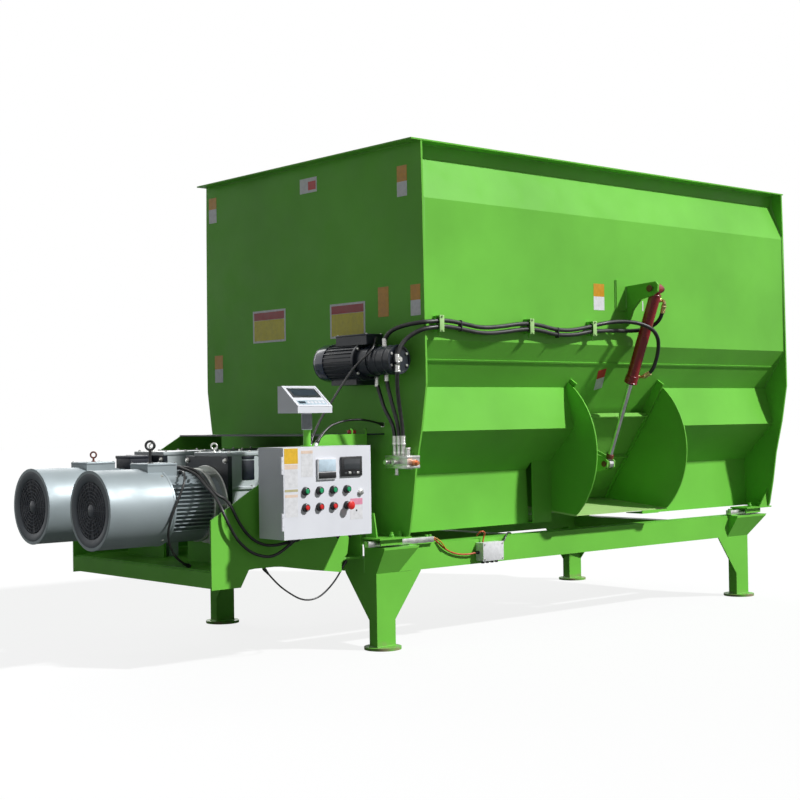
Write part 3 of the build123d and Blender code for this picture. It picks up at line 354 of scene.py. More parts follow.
def finish(name):
    """One of this file's finishes, made when it is first asked for."""
    if name in FINISHES:
        return FINISHES[name]
    p = bpy.context.scene.mixer_paints
    # maker and material name, colour, and the maker's other values in their order
    made = {
        "green": (paint, "green_gloss", p.green, 0.36, 900, 0, 0.14, 0, 0.05),
        "green_sheet": (paint, "green_sheet", p.green, 0.36, 900, 0.09, 0.14),
        "green_chute": (paint, "green_chute", p.green, 0.36, 900, 0.06, 0.14, 0, 0, 0, (0.42, 0.64, 0.24)),
        "green_inside": (paint, "green_worn", shade(p.green, 0.9), 0.42, 500, 0.06, 0.3),
        "green_dusty": (paint, "green_dusty", (0.2, 0.5, 0.085), 0.45, 500, 0.06, 0.35),
        "bead": (cast, "green_bead", shade(p.green, 0.95), 0.4),
        "clamp": (paint, "clamp_green", (0.38, 0.62, 0.24), 0.4),
        "deck": (paint, "deck_plate_paint", p.deck, 0.3, 700, 0.05, 0.5, 0.2),
        "motor": (paint, "motor_silver", p.motor, 0.46, 600, 0, 0.3, 0, 0, 0.3),
        "bell": (cast, "bell_casting", (0.52, 0.54, 0.5), 0.4, 0.4),
        "guard": (paint, "guard_grey", (0.06, 0.075, 0.095), 0.4, 600),
        "fan": (plastic, "fan_black", (0.006, 0.009, 0.018), 0.5),
        "gearbox": (paint, "gearbox_grey", p.gearbox, 0.35, 500, 0, 0.5, 0.15),
        "flange": (cast, "flange_black", (0.008, 0.012, 0.018), 0.35),
        "pump": (cast, "pump_black", p.pump, 0.3),
        # fan cover: the real blue-black paint tinted bluer, a painted reflection of the blue glint at the
        # fan end
        "pump_end": (paint, "pump_cover_blue", (0.015, 0.03, 0.08), 0.2, 600, 0, 0.5, 0.6),
        "zinc": (metal, "zinc_plate", (0.66, 0.66, 0.63), 0.3),
        "yellow_zinc": (metal, "yellow_zinc", (0.62, 0.5, 0.24), 0.3),
        "copper": (metal, "copper_nut", (0.75, 0.28, 0.13), 0.25),
        "steel": (metal, "auger_steel", p.steel, 0.34, (0.15, 1, 1), (0.16, 0.09, 0.05)),
        "silver": (metal, "cell_silver", (0.72, 0.72, 0.7), 0.3, (0.1, 1, 1)),
        "chrome": (metal, "chrome_rod", (0.83, 0.83, 0.84), 0.07, (1, 0.1, 0.1)),
        "red": (paint, "cylinder_red", p.cylinder, 0.26, 900, 0, 0.5, 0.5),
        "brown": (paint, "pin_brown", (0.15, 0.035, 0.02), 0.45, 500),
        "cast_grey": (cast, "bearing_grey", (0.2, 0.21, 0.22)),
        "cabinet": (paint, "powder_white", p.cabinet, 0.4, 1400),
        "hose": (rubber, "hose_rubber_black", p.rubber),
        "sheath": (rubber, "cable_sheath", (0.009, 0.009, 0.01), 0.36),
        "wire_red": (plastic, "signal_wire_red", (0.55, 0.09, 0.03), 0.4),
        "black": (plastic, "black_plastic", (0.012, 0.012, 0.014), 0.32),
        "screen": (plastic, "screen_dark", (0.045, 0.05, 0.055), 0.12, 300),
        "window": (plastic, "meter_window", (0.55, 0.68, 0.78), 0.12, 300),
        "keys": (plastic, "key_blue", (0.42, 0.55, 0.63)),
        "key_dark": (plastic, "key_dark", (0.03, 0.04, 0.06)),
        "button_green": (plastic, "button_green", (0.01, 0.33, 0.12), 0.2),
        "button_red": (plastic, "button_red", (0.7, 0.02, 0.018), 0.2),
        "label_grey": (plastic, "label_grey", shade(p.cabinet, 0.8), 0.4),
        "label_pale": (plastic, "label_pale", (0.8, 0.62, 0.5), 0.4),
        "label_olive": (plastic, "label_olive", (0.5, 0.45, 0.25), 0.4),
    }
    labels = {"white": (0.74, 0.74, 0.76), "yellow": (0.78, 0.47, 0.03), "lemon": (0.62, 0.55, 0.02),
              "dark_red": (0.3, 0.008, 0.012), "red": (0.6, 0.03, 0.03), "orange": (0.62, 0.29, 0.012),
              "pink": (0.78, 0.3, 0.42)}
    for tint, colour in labels.items():
        made["label_" + tint] = (plastic, "label_" + tint, colour, 0.35)
    maker, title, colour, *values = made[name]
    FINISHES[name] = maker(title, tuple(colour), *values)
    return FINISHES[name]


# shapes

def fresh(bm):
    """Faces that are new since the last mark. Till it is a piece, a face's finish counts from 1."""
    return [face for face in bm.faces if face.material_index == 0]


def mark(bm, index):
    for face in fresh(bm):
        face.material_index = index + 1


def along(a, b):
    """Place of a shape whose own height runs from a to b."""
    a, b = Vector(a), Vector(b)
    return Matrix.Translation((a + b) / 2) @ (b - a).to_track_quat("Z", "Y").to_matrix().to_4x4()


def eased(bm, verts, width, segments=2):
    """Bevel the sharp edges between the given corners."""
    inside, sharp = set(verts), math.radians(46)
    edges = [e for e in {e for v in verts for e in v.link_edges}
             if e.verts[0] in inside and e.verts[1] in inside and e.calc_face_angle(0) > sharp]
    bmesh.ops.bevel(bm, geom=edges, offset=width, segments=segments, affect="EDGES", profile=0.5,
                    material=-1)


def slab(bm, low, high, edge=0, index=0, place=None):
    """Block between two corners, in the row frame or in a given place."""
    low, high = Vector(low), Vector(high)
    where = Matrix.Translation((low + high) / 2) @ Matrix.Diagonal((*(high - low), 1))
    made = bmesh.ops.create_cube(bm, size=1, matrix=(place or Matrix()) @ where)
    if edge:
        eased(bm, made["verts"], edge)
    mark(bm, index)


def rod(bm, a, b, r0, r1=None, sides=20, edge=0, index=0):
    """Round or many-sided rod from a to b, tapered where a second radius is given."""
    length = (Vector(b) - Vector(a)).length
    made = bmesh.ops.create_cone(bm, cap_ends=True, cap_tris=False, segments=sides, radius1=r0,
                                 radius2=r0 if r1 is None else r1, depth=length, matrix=along(a, b))
    if edge:
        eased(bm, made["verts"], edge, 1)
    mark(bm, index)


def stack(bm, at, way, rods, index=0):
    """Rods on one axis through a point, each with both ends' heights, its radius, and perhaps its sides,
    its edge and the far end's radius."""
    at, way = Vector(at), Vector(way).normalized()
    for low, high, radius, *shape in rods:
        sides, edge, end = (*shape, *(20, 0, None)[len(shape):])
        rod(bm, at + way * low, at + way * high, radius, end, sides, edge, index)


def lathe(bm, profile, at, axis, sides=48, closed=False, index=0):
    """Line of (radius, height) points turned about an axis through a point."""
    axis = Vector(axis).normalized()
    place = Matrix.Translation(at) @ axis.to_track_quat("Z", "Y").to_matrix().to_4x4()
    verts = [bm.verts.new(place @ Vector((r, 0, h))) for r, h in profile]
    pairs = list(zip(verts, verts[1:])) + ([(verts[-1], verts[0])] if closed else [])
    edges = [bm.edges.new(pair) for pair in pairs]
    bmesh.ops.spin(bm, geom=verts + edges, cent=Vector(at), axis=axis, dvec=(0, 0, 0),
                   angle=math.tau, steps=sides, use_merge=True)
    bmesh.ops.remove_doubles(bm, verts=list({v for f in fresh(bm) for v in f.verts}), dist=1e-5)
    bmesh.ops.recalc_face_normals(bm, faces=fresh(bm))
    mark(bm, index)


def ring(bm, at, axis, radius, wire, sides=40, index=0, round_sides=8):
    circle = [(radius + wire * math.cos(math.tau * i / round_sides),
               wire * math.sin(math.tau * i / round_sides)) for i in range(round_sides)]
    lathe(bm, circle, at, axis, sides, True, index)


def bolt(bm, at, axis, size):
    """Washer and hexagon head with a short stud, standing on a face."""
    washer, head = size * 0.16, size * 0.8
    stack(bm, at, axis, [(-0.0005, washer, size, 16), (washer, head, size * 0.82, 6, size * 0.05),
                         (head, size, size * 0.42, 10)])


def spoke(degrees):
    """Direction square to X, from +Z towards +Y."""
    return Vector((0, math.sin(math.radians(degrees)), math.cos(math.radians(degrees))))


def turned(at, degrees, axis="X"):
    """Place turned about an axis through a point."""
    return Matrix.Translation(at) @ Matrix.Rotation(math.radians(degrees), 4, axis)


def shown(name, data, body=None, replaces=()):
    """Object in the scene, riding on a body and standing for CAD nodes where they are given."""
    thing = bpy.data.objects.new(name, data)
    bpy.context.scene.collection.objects.link(thing)
    if body:
        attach(thing, body)
    if replaces:
        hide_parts(*replaces)
    return thing


def piece(name, bm, finishes, body="base", replaces=(), smooth=38):
    """Object from a bmesh, with its finishes, riding on a body."""
    mesh = bpy.data.meshes.new(name)
    for face in bm.faces:
        face.material_index -= 1
    bm.to_mesh(mesh)
    bm.free()
    for each in finishes:
        mesh.materials.append(finish(each))
    smoothed(mesh, smooth)
    return shown(name, mesh, body, replaces)


def smoothed(mesh, degrees):
    mesh.polygons.foreach_set("use_smooth", [True] * len(mesh.polygons))
    mesh.set_sharp_from_angle(angle=math.radians(degrees))


def tube(name, runs, radius, look, body=None, replaces=(), kind="NURBS", roundness=4):
    """Round lines, each through or pulled by its points."""
    curve = bpy.data.curves.new(name, "CURVE")
    curve.dimensions = "3D"
    curve.bevel_depth = radius
    curve.bevel_resolution = roundness
    curve.use_fill_caps = True
    curve.resolution_u = 8
    for run in runs:
        line = curve.splines.new(kind)
        line.points.add(len(run) - 1)
        for point, place in zip(line.points, run):
            point.co = (*place, 1)
        if kind == "NURBS":
            line.order_u = 3
            line.use_endpoint_u = True
    curve.materials.append(finish(look))
    return shown(name, curve, body, replaces)


def weld_runs(name, runs, radius):
    """Weld beads along straight runs between points."""
    tube(name, runs, radius, "bead", "base", (), "POLY", 2)


class MIXER_OT_paint(bpy.types.Operator):
    """Give every CAD node its finish"""

    bl_idname = "mixer.paint"
    bl_label = "Paint"

    def execute(self, context):
        by_slot = {"green_paint": "green", "dark_plate": "deck", "auger_steel": "zinc",
                   "cast_grey": "cast_grey", "motor_grey": "motor", "light_grey": "gearbox",
                   "cabinet_white": "cabinet", "red_paint": "red", "chrome_rod": "chrome",
                   "hose_rubber": "hose"}
        by_name = {"trough": "green_inside", "chute": "green_chute", "discharge_door": "green_dusty",
                   "auger_near": "steel", "auger_far": "steel", "drive_flanges": "flange", "pump": "pump",
                   "power_pack": "pump", "port_elbows": "yellow_zinc", "valve_block": "zinc"}
        for name in ("front_plate", "rear_plate", "wall_near", "wall_far", "cover_near_front",
                     "cover_near_rear", "cover_far"):
            by_name[name] = "green_sheet"
        for part in frame["record"]["subparts"]:
            mesh = frame["nodes"][part["node"]].data
            mesh.materials.clear()
            mesh.materials.append(finish(by_name.get(part["node"], by_slot[part["material_slot"]])))
        return {"FINISHED"}


class MIXER_OT_cables(bpy.types.Operator):
    """Hang the free cables between their glands"""

    bl_idname = "mixer.cables"
    bl_label = "Cables"

    def execute(self, context):
        reliefs = bmesh.new()
        for name, (diameter, length, points) in CABLES.items():
            r = diameter / 2
            cable = tube(name + "_line", [points], r, "sheath", "base", (name,))
            for end, near in (points[:2], points[:-3:-1]):
                stack(reliefs, end, Vector(near) - Vector(end), [
                    (-0.008, 0.007, r + 0.006, 6, 0.001), (0.007, 0.012, r + 0.0045),
                    (0.012, 0.04, r + 0.0036, 20, 0, r + 0.0006)])
        piece("cable_reliefs", reliefs, ["black"])
        return {"FINISHED"}


class MIXER_OT_hoses(bpy.types.Operator):
    """Lay the hydraulic hoses, and the loops to the cylinder"""

    bl_idname = "mixer.hoses"
    bl_label = "Hoses"

    def execute(self, context):
        for name, (diameter, part, points) in HOSES.items():
            look = "wire_red" if name == "box_cable_left" else "hose" if diameter > 0.02 else "sheath"
            tube(name, [points], diameter / 2, look, "base", (part,))
        for name, (_, part, points) in LOOPS.items():
            drawn = tube(name + "_line", [points], 0.012, "hose")
            context.view_layer.update()
            seen = drawn.evaluated_get(context.evaluated_depsgraph_get())
            mesh = bpy.data.meshes.new_from_object(seen)
            mesh.name = name
            smoothed(mesh, 50)
            bpy.data.objects.remove(drawn)
            loop = shown(name, mesh)
            start, last, before = Vector(points[0]), Vector(points[-1]), Vector(points[-2])
            way = (Vector(points[1]) - start).normalized()
            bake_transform(loop)
            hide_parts(part)

        ends = bmesh.new()
        for x, y, z, way in (
                (-1.5875, -0.862, 1.124, 1), (-1.5875, -0.896, 1.124, 1), (-1.5875, -0.93, 1.124, 1),
                (-1.5875, -0.722, 1.462, -1), (-1.5875, -0.803, 1.489, -1), (-1.6675, -0.984, 1.532, -1),
                (-1.6675, -0.984, 1.56, 1), (-1.6375, -0.847, 1.651, 1)):
            stack(ends, (x, y, z), (0, 0, way), [(-0.004, 0.034, 0.0142, 24, 0.001),
                                                 (-0.022, -0.004, 0.0172, 6, 0.0015)])
            for k in (0.008, 0.017, 0.026):
                ring(ends, (x, y, z + way * k), Z, 0.0142, 0.0012, 24)
        piece("hose_ends", ends, ["zinc"])

        clamps = bmesh.new()
        for x, z0, z1 in ((-1.4335, 1.742, 1.776), (-0.7335, 1.748, 1.78), (-0.1965, 1.751, 1.783)):
            y = HOSE_Y - 0.0195
            slab(clamps, (x - 0.016, y, z0 - 0.028), (x + 0.016, y + 0.003, z1 + 0.028), 0.001)
            for z in (z0 - 0.021, z1 + 0.021):
                bolt(clamps, (x, y, z), -Y, 0.0075)
        piece("clamp_plates", clamps, ["clamp"])
        ties = bmesh.new()
        for x, z in ((-1.2815, 1.751), (-0.5065, 1.735)):
            slab(ties, (x - 0.004, HOSE_Y - 0.0145, z - 0.031), (x + 0.004, HOSE_Y + 0.0145, z + 0.031),
                 0.003)
        piece("hose_ties", ties, ["black"])
        return {"FINISHED"}


class MIXER_OT_motors(bpy.types.Operator):
    """Fit the motors with fan guards, fans, lifting rings, bells and lids"""

    bl_idname = "mixer.motors"
    bl_label = "Motors"

    def execute(self, context):
        sizes = context.scene.mixer_sizes
        cover_x, rear_x, bell_x, flange_x = -3.1345, -2.7725, -2.5155, -2.4375
        for side, y in (("near", -MOT_Y), ("far", MOT_Y)):
            face, rear, bell_at = (Vector((x, y, MOT_Z)) for x in (cover_x, rear_x, bell_x))
            guard = bmesh.new()
            lathe(guard, [(0.1865, -0.011), (0.1865, -0.001), (0.18, 0), (0.152, -0.003), (0.146, -0.006),
                          (0.146, -0.01)], face, -X, 72, True)
            for k in range(sizes.guard_wires):
                ring(guard, face + X * 0.0045, X, 0.136 - 0.0185 * k, 0.0021, 56, 1, 6)
            for k in range(18):
                stack(guard, face + X * 0.0075, spoke(20 * k + 10), [(0.024, 0.1475, 0.0021, 6)], 1)
            lathe(guard, [(0, -0.0035), (0.026, -0.0035), (0.031, -0.0055), (0.031, -0.009), (0, -0.009)],
                  face, -X, 32, index=1)
            lathe(guard, [(0, -0.0105), (0.15, -0.0105), (0.15, -0.0118), (0, -0.0118)], face, -X, index=2)
            for k in range(sizes.fan_blades):
                slab(guard, (0.0085, -0.003, 0.035), (0.0112, 0.003, 0.143), 0.0006, 2,
                     turned(face, 360 * k / sizes.fan_blades) @ Matrix.Rotation(0.1, 4, "Z"))
            piece("fan_guard_" + side, guard, ["guard", "key_dark", "fan"])

            cover = bmesh.new()
            lathe(cover, [(0.1995, -0.002), (0.2015, -0.0025), (0.2025, 0), (0.2015, 0.0035),
                          (0.1995, 0.003)], face + X * 0.003, X, 96, True)
            lathe(cover, [(0.1995, 0), (0.2018, 0.001), (0.2018, 0.012), (0.1995, 0.013)],
                  rear + X * 0.006, X, 96, True)
            piece("cover_bands_" + side, cover, ["motor"])
            screws = bmesh.new()
            for degrees in (35, 145, 215, 325):
                stack(screws, rear - X * 0.012, spoke(degrees),
                      [(0.1995, 0.203, 0.0085, 14, 0, 0.0065), (0.203, 0.204, 0.004, 8)])
            for degrees in range(22, 382, 45):
                bolt(screws, bell_at + X * 0.001 + spoke(degrees) * 0.178, -X, 0.0085)
            piece("motor_screws_" + side, screws, ["zinc"])

            bell = bmesh.new()
            lathe(bell, [(0.166, 0), (0.19, 0), (0.194, 0.004), (0.194, 0.018), (0.189, 0.024),
                         (0.166, 0.03)], bell_at, X, 72, True)
            for degrees in range(30, 390, 60):
                slab(bell, (0.02, -0.006, 0.165), (flange_x - bell_x, 0.006, 0.19), 0.002, 0,
                     turned(bell_at, degrees))
            for dy in (-0.15, 0.15):
                slab(bell, bell_at + Vector((0.002, dy - 0.03, -0.2)),
                     bell_at + Vector((0.06, dy + 0.03, -0.13)), 0.006)
            lathe(bell, [(0.17, 0), (0.203, 0), (0.206, 0.003), (0.206, 0.007), (0.17, 0.009)],
                  (flange_x - 0.009, y, MOT_Z), X, 96, True)
            piece("end_bell_" + side, bell, ["bell"])

            lids, screws = bmesh.new(), bmesh.new()
            slab(lids, (-2.8515, y - 0.088, 1.026), (-2.6735, y + 0.088, 1.0395), 0.005)
            slab(lids, (-2.818, y - 0.1115, 0.907), (-2.687, y - 0.107, 0.974), 0.002)
            piece("terminal_lids_" + side, lids, ["motor"])
            for x in (-2.842, -2.683):
                for dy in (-0.079, 0.079):
                    rod(screws, (x, y + dy, 1.039), (x, y + dy, 1.0425), 0.0048, sides=12)
            for x in (-2.812, -2.693):
                for z in (0.913, 0.968):
                    rod(screws, (x, y - 0.111, z), (x, y - 0.1135, z), 0.0038, sides=12)
            piece("lid_screws_" + side, screws, ["zinc"])

        for name, x, y, ring_z, foot_z, scale, look in (
                ("motor_near", -2.782, -MOT_Y, 1.131, 1.0395, 1, "black"),
                ("motor_far", -2.76, MOT_Y, 1.077, 1.0395, 0.72, "brown"),
                ("gear_near", -2.386, -MOT_Y, 1.117, 1.086, 0.72, "zinc"),
                ("gear_far", -2.386, MOT_Y, 1.117, 1.086, 0.72, "zinc")):
            eye = bmesh.new()
            r = sizes.eye_ring * scale
            wire = r * 0.3
            ring(eye, (x, y, ring_z), (0.66, 0.75, 0), r, wire, 32, 0, 12)
            stack(eye, (x, y, foot_z), Z, [(-0.002, ring_z - r - foot_z, wire * 1.15, 16),
                                                   (-0.001, 0.006, r * 0.8, 20, 0, r * 0.6)])
            piece("eye_bolt_" + name, eye, [look])

        far_box = bmesh.new()
        slab(far_box, (-2.576, 0.235, 0.992), (-2.425, 0.387, 1.06), 0.006)
        slab(far_box, (-2.579, 0.232, 1.05), (-2.422, 0.39, 1.067), 0.004)
        piece("terminal_box_far", far_box, ["fan"])
        return {"FINISHED"}


class MIXER_OT_gearboxes(bpy.types.Operator):
    """Add covers, parting flanges, windows and bolts to the gearboxes"""

    bl_idname = "mixer.gearboxes"
    bl_label = "Gearboxes"

    def execute(self, context):
        size = context.scene.mixer_sizes.bolt
        for side, y in (("near", -MOT_Y), ("far", MOT_Y)):
            s = -1 if y < 0 else 1
            out = y + s * 0.15
            body = bmesh.new()
            slab(body, (-2.4105, y - 0.156, 1.066), (-1.5485, y + 0.156, 1.086), 0.003)
            slab(body, (-2.4105, y - 0.16, 0.888), (-1.6265, y + 0.16, 0.904), 0.003)
            for x in (-2.16, -1.94, -1.72):
                y0, y1 = sorted((out, out + s * 0.01))
                slab(body, (x - 0.008, y0, 0.704), (x + 0.008, y1, 0.886), 0.002)
            piece("gearbox_flanges_" + side, body, ["gearbox"])
            windows = bmesh.new()
            y0, y1 = sorted((out - s * 0.001, out + s * 0.004))
            slab(windows, (-2.314, y0, 0.938), (-2.235, y1, 1.042), 0.002)
            slab(windows, (-2.314, y0, 1.048), (-2.235, y1, 1.064), 0.001)
            piece("gearbox_windows_" + side, windows, ["fan"])
            fixings = bmesh.new()
            for k in range(7):
                x = -2.385 + k * 0.13
                for dy in (-0.14, 0.14):
                    bolt(fixings, (x, y + dy, 1.086), Z, size * 0.6)
                if x < -1.64:
                    bolt(fixings, (x, out + s * 0.0045, 0.904), Z, size * 0.45)
            for dy in (-0.178, 0.178):
                for z in (0.725, 1.043):
                    bolt(fixings, (-2.4375, y + dy, z), -X, size)
            piece("gearbox_bolts_" + side, fixings, ["zinc"])
        return {"FINISHED"}


class MIXER_OT_hydraulics(bpy.types.Operator):
    """Dress the hydraulic motor, its pump and the valve block"""

    bl_idname = "mixer.hydraulics"
    bl_label = "Hydraulics"

    def execute(self, context):
        x, z = -1.6375, 1.567
        fins = bmesh.new()
        for k in range(28):
            slab(fins, (-0.0018, -0.118, 0.098), (0.0018, 0.118, 0.1065), 0.0008, 0,
                 turned((x, -0.555, z), 360 * k / 28, "Y"))
        lathe(fins, [(0.09, 0), (0.103, 0), (0.106, 0.003), (0.106, 0.018), (0.103, 0.021), (0.09, 0.021)],
              (x, -0.698, z), Y, 56, True)
        slab(fins, (x - 0.063, -0.769, z + 0.137), (x + 0.063, -0.501, z + 0.148), 0.004)
        piece("hydraulic_motor_body", fins, ["pump"])
        # the fan cover's extra blue is a painted reflection of the glint at the fan end
        cover = bmesh.new()
        lathe(cover, [(0, 0), (0.078, 0), (0.094, 0.004), (0.1035, 0.014), (0.1055, 0.024), (0.1055, 0.088),
                      (0.1005, 0.088), (0.1005, 0.002), (0, 0.0012)], (x, -0.3445, z), -Y, 64)
        piece("hydraulic_motor_cover", cover, ["pump_end"])
        vents = bmesh.new()
        for r in (0.022, 0.038, 0.054, 0.07):
            ring(vents, (x, -0.3435, z), Y, r, 0.0018, 40, 0, 6)
        for dx in (-0.052, 0.052):
            for y in (-0.757, -0.513):
                rod(vents, (x + dx, y, z + 0.147), (x + dx, y, z + 0.151), 0.0046, sides=12)
        for count, r, y in ((6, 0.062, -0.961), (4, 0.094, -0.7)):
            for k in range(count):
                a = math.tau * (k + 0.5) / count
                at = Vector((x + r * math.cos(a), y, z + r * math.sin(a)))
                if count == 4:
                    bolt(vents, at, -Y, 0.0095)
                else:
                    stack(vents, at, -Y, [(0, 0.008, 0.0075, 14, 0.001)])
        stack(vents, (x, -0.958, z), -Y, [(0, 0.017, 0.018, 6, 0.002)])
        piece("pump_fixings", vents, ["zinc"])
        bands = bmesh.new()
        for y in (-0.792, -0.855, -0.915, -0.967):
            lathe(bands, [(0.07, 0), (0.0785, 0), (0.08, 0.002), (0.08, 0.008), (0.0785, 0.01),
                          (0.07, 0.01)], (x, y, z), Y, 48, True)
        for at, r in (((-1.5875, -0.722, 1.527), 0.02), ((-1.5875, -0.803, 1.527), 0.02),
                      ((-1.6375, -0.847, 1.634), 0.019)):
            stack(bands, at, Z, [(-0.008, 0.008, r, 20, 0.002)])
        piece("pump_bands", bands, ["pump"])

        block = bmesh.new()
        for z0 in (0.983, 1.036):
            slab(block, (-1.6295, -1.007, z0), (-1.5355, -0.826, z0 + 0.016), 0.002)
        for y in (-0.862, -0.896, -0.93):
            stack(block, (-1.5875, y, 1.052), Z, [(0, 0.02, 0.017, 6, 0.0015)])
        for y in (-0.862, -0.93):
            stack(block, (-1.6295, y, 1.017), -X, [(0, 0.0205, 0.011, 20, 0.001),
                                                           (0.0205, 0.0325, 0.015, 6, 0.0015)])
        stack(block, (-1.5875, -0.968, 1.05), Z, [(0, 0.032, 0.012), (0.032, 0.044, 0.016, 6, 0.0015)])
        stack(block, (-1.6075, -0.896, 0.985), -Z, [(0, 0.03, 0.01), (0.03, 0.04, 0.014, 6, 0.0015)])
        piece("valve_fittings", block, ["zinc"])
        nut = bmesh.new()
        rod(nut, (-1.5825, -1.034, 1.013), (-1.5825, -1.006, 1.013), 0.0175, sides=6, edge=0.002)
        rod(nut, (-1.5825, -1.046, 1.013), (-1.5825, -1.034, 1.013), 0.0095)
        piece("copper_plug", nut, ["copper"])
        knob = bmesh.new()
        lathe(knob, [(0, 0), (0.02, 0), (0.026, 0.008), (0.024, 0.018), (0.014, 0.024), (0, 0.025)],
              (-1.733, -0.672, 1.1705), Z, 28)
        piece("red_cap", knob, ["label_red"])
        hooks = bmesh.new()
        for hx in (-1.753, -1.655):
            slab(hooks, (hx - 0.005, -0.703, 1.1685), (hx + 0.005, -0.697, 1.2), 0.0015)
            slab(hooks, (hx - 0.014, -0.703, 1.192), (hx + 0.005, -0.697, 1.2), 0.0015)
        piece("cable_hooks", hooks, ["green"])
        return {"FINISHED"}


def on_cylinder(s):
    """Point on the cylinder's axis, s below its upper pin."""
    return Vector((DOOR_X, *PIN_TOP)) + CYL * s


class MIXER_OT_cylinder(bpy.types.Operator):
    """Add nuts, caps, sleeves and rings to the door's cylinder"""

    bl_idname = "mixer.cylinder"
    bl_label = "Door cylinder"

    def execute(self, context):
        ports = bmesh.new()
        for port, _, points in LOOPS.values():
            stack(ports, on_cylinder(port), X, [(0.045, 0.058, 0.0165, 6, 0.0015)])
            last = Vector(points[-1])
            way = (Vector(points[-2]) - last).normalized()
            stack(ports, last, way, [(-0.01, 0.006, 0.0168, 6, 0.0015), (0.006, 0.038, 0.0146, 24, 0.001)])
            for k in (0.012, 0.021, 0.03):
                ring(ports, last + way * k, way, 0.0146, 0.0011, 24)
        piece("port_nuts", ports, ["yellow_zinc"], "cylinder_barrel")
        rings = bmesh.new()
        for s, r in ((0.034, 0.0375), (0.556, 0.0385), (0.598, 0.0425)):
            lathe(rings, [(0.028, -0.003), (r - 0.001, -0.003), (r, -0.002), (r, 0.002), (r - 0.001, 0.003),
                          (0.028, 0.003)], on_cylinder(s), CYL, 48, True)
        for s in (0.07, 0.562):
            lathe(rings, [(0, 0), (0.0195, 0), (0.0185, 0.006), (0.016, 0.009), (0, 0.009)],
                  on_cylinder(s) + X * 0.034, X, 32)
        piece("barrel_rings", rings, ["red"], "cylinder_barrel")
        wiper = bmesh.new()
        lathe(wiper, [(0.0178, 0), (0.03, 0), (0.028, 0.006), (0.02, 0.009), (0.0178, 0.009)],
              on_cylinder(0.602), CYL, 40, True)
        piece("rod_wiper", wiper, ["black"], "cylinder_barrel")
        caps = bmesh.new()
        lathe(caps, [(0, 0.009), (0.01, 0.008), (0.018, 0.003), (0.0215, -0.004), (0.0215, -0.016),
                     (0, -0.016)], (DOOR_X + 0.05, *PIN_TOP), X, 32)
        rod(caps, (DOOR_X - 0.076, *PIN_TOP), (DOOR_X - 0.068, *PIN_TOP), 0.021, sides=24, edge=0.002)
        piece("pin_cap", caps, ["brown"])
        fixing = bmesh.new()
        bolt(fixing, (0.1875, -1.0305, 1.863), -Y, 0.012)
        piece("bracket_bolt", fixing, ["green"])
        eye = bmesh.new()
        for s in (-1, 1):
            lathe(eye, [(0, 0.004), (0.014, 0.003), (0.019, -0.001), (0.019, -0.0045), (0, -0.0045)],
                  (DOOR_X + s * 0.041, *PIN_EYE), (s, 0, 0), 28)
        piece("eye_pin_caps", eye, ["brown"], "discharge_door")
        collar = bmesh.new()
        lathe(collar, [(0.0172, -0.03), (0.0215, -0.03), (0.0235, -0.026), (0.0235, -0.004), (0.0172, 0)],
              on_cylinder(1.1025), CYL, 36, True)
        piece("rod_collar", collar, ["brown"], "cylinder_rod")
        return {"FINISHED"}


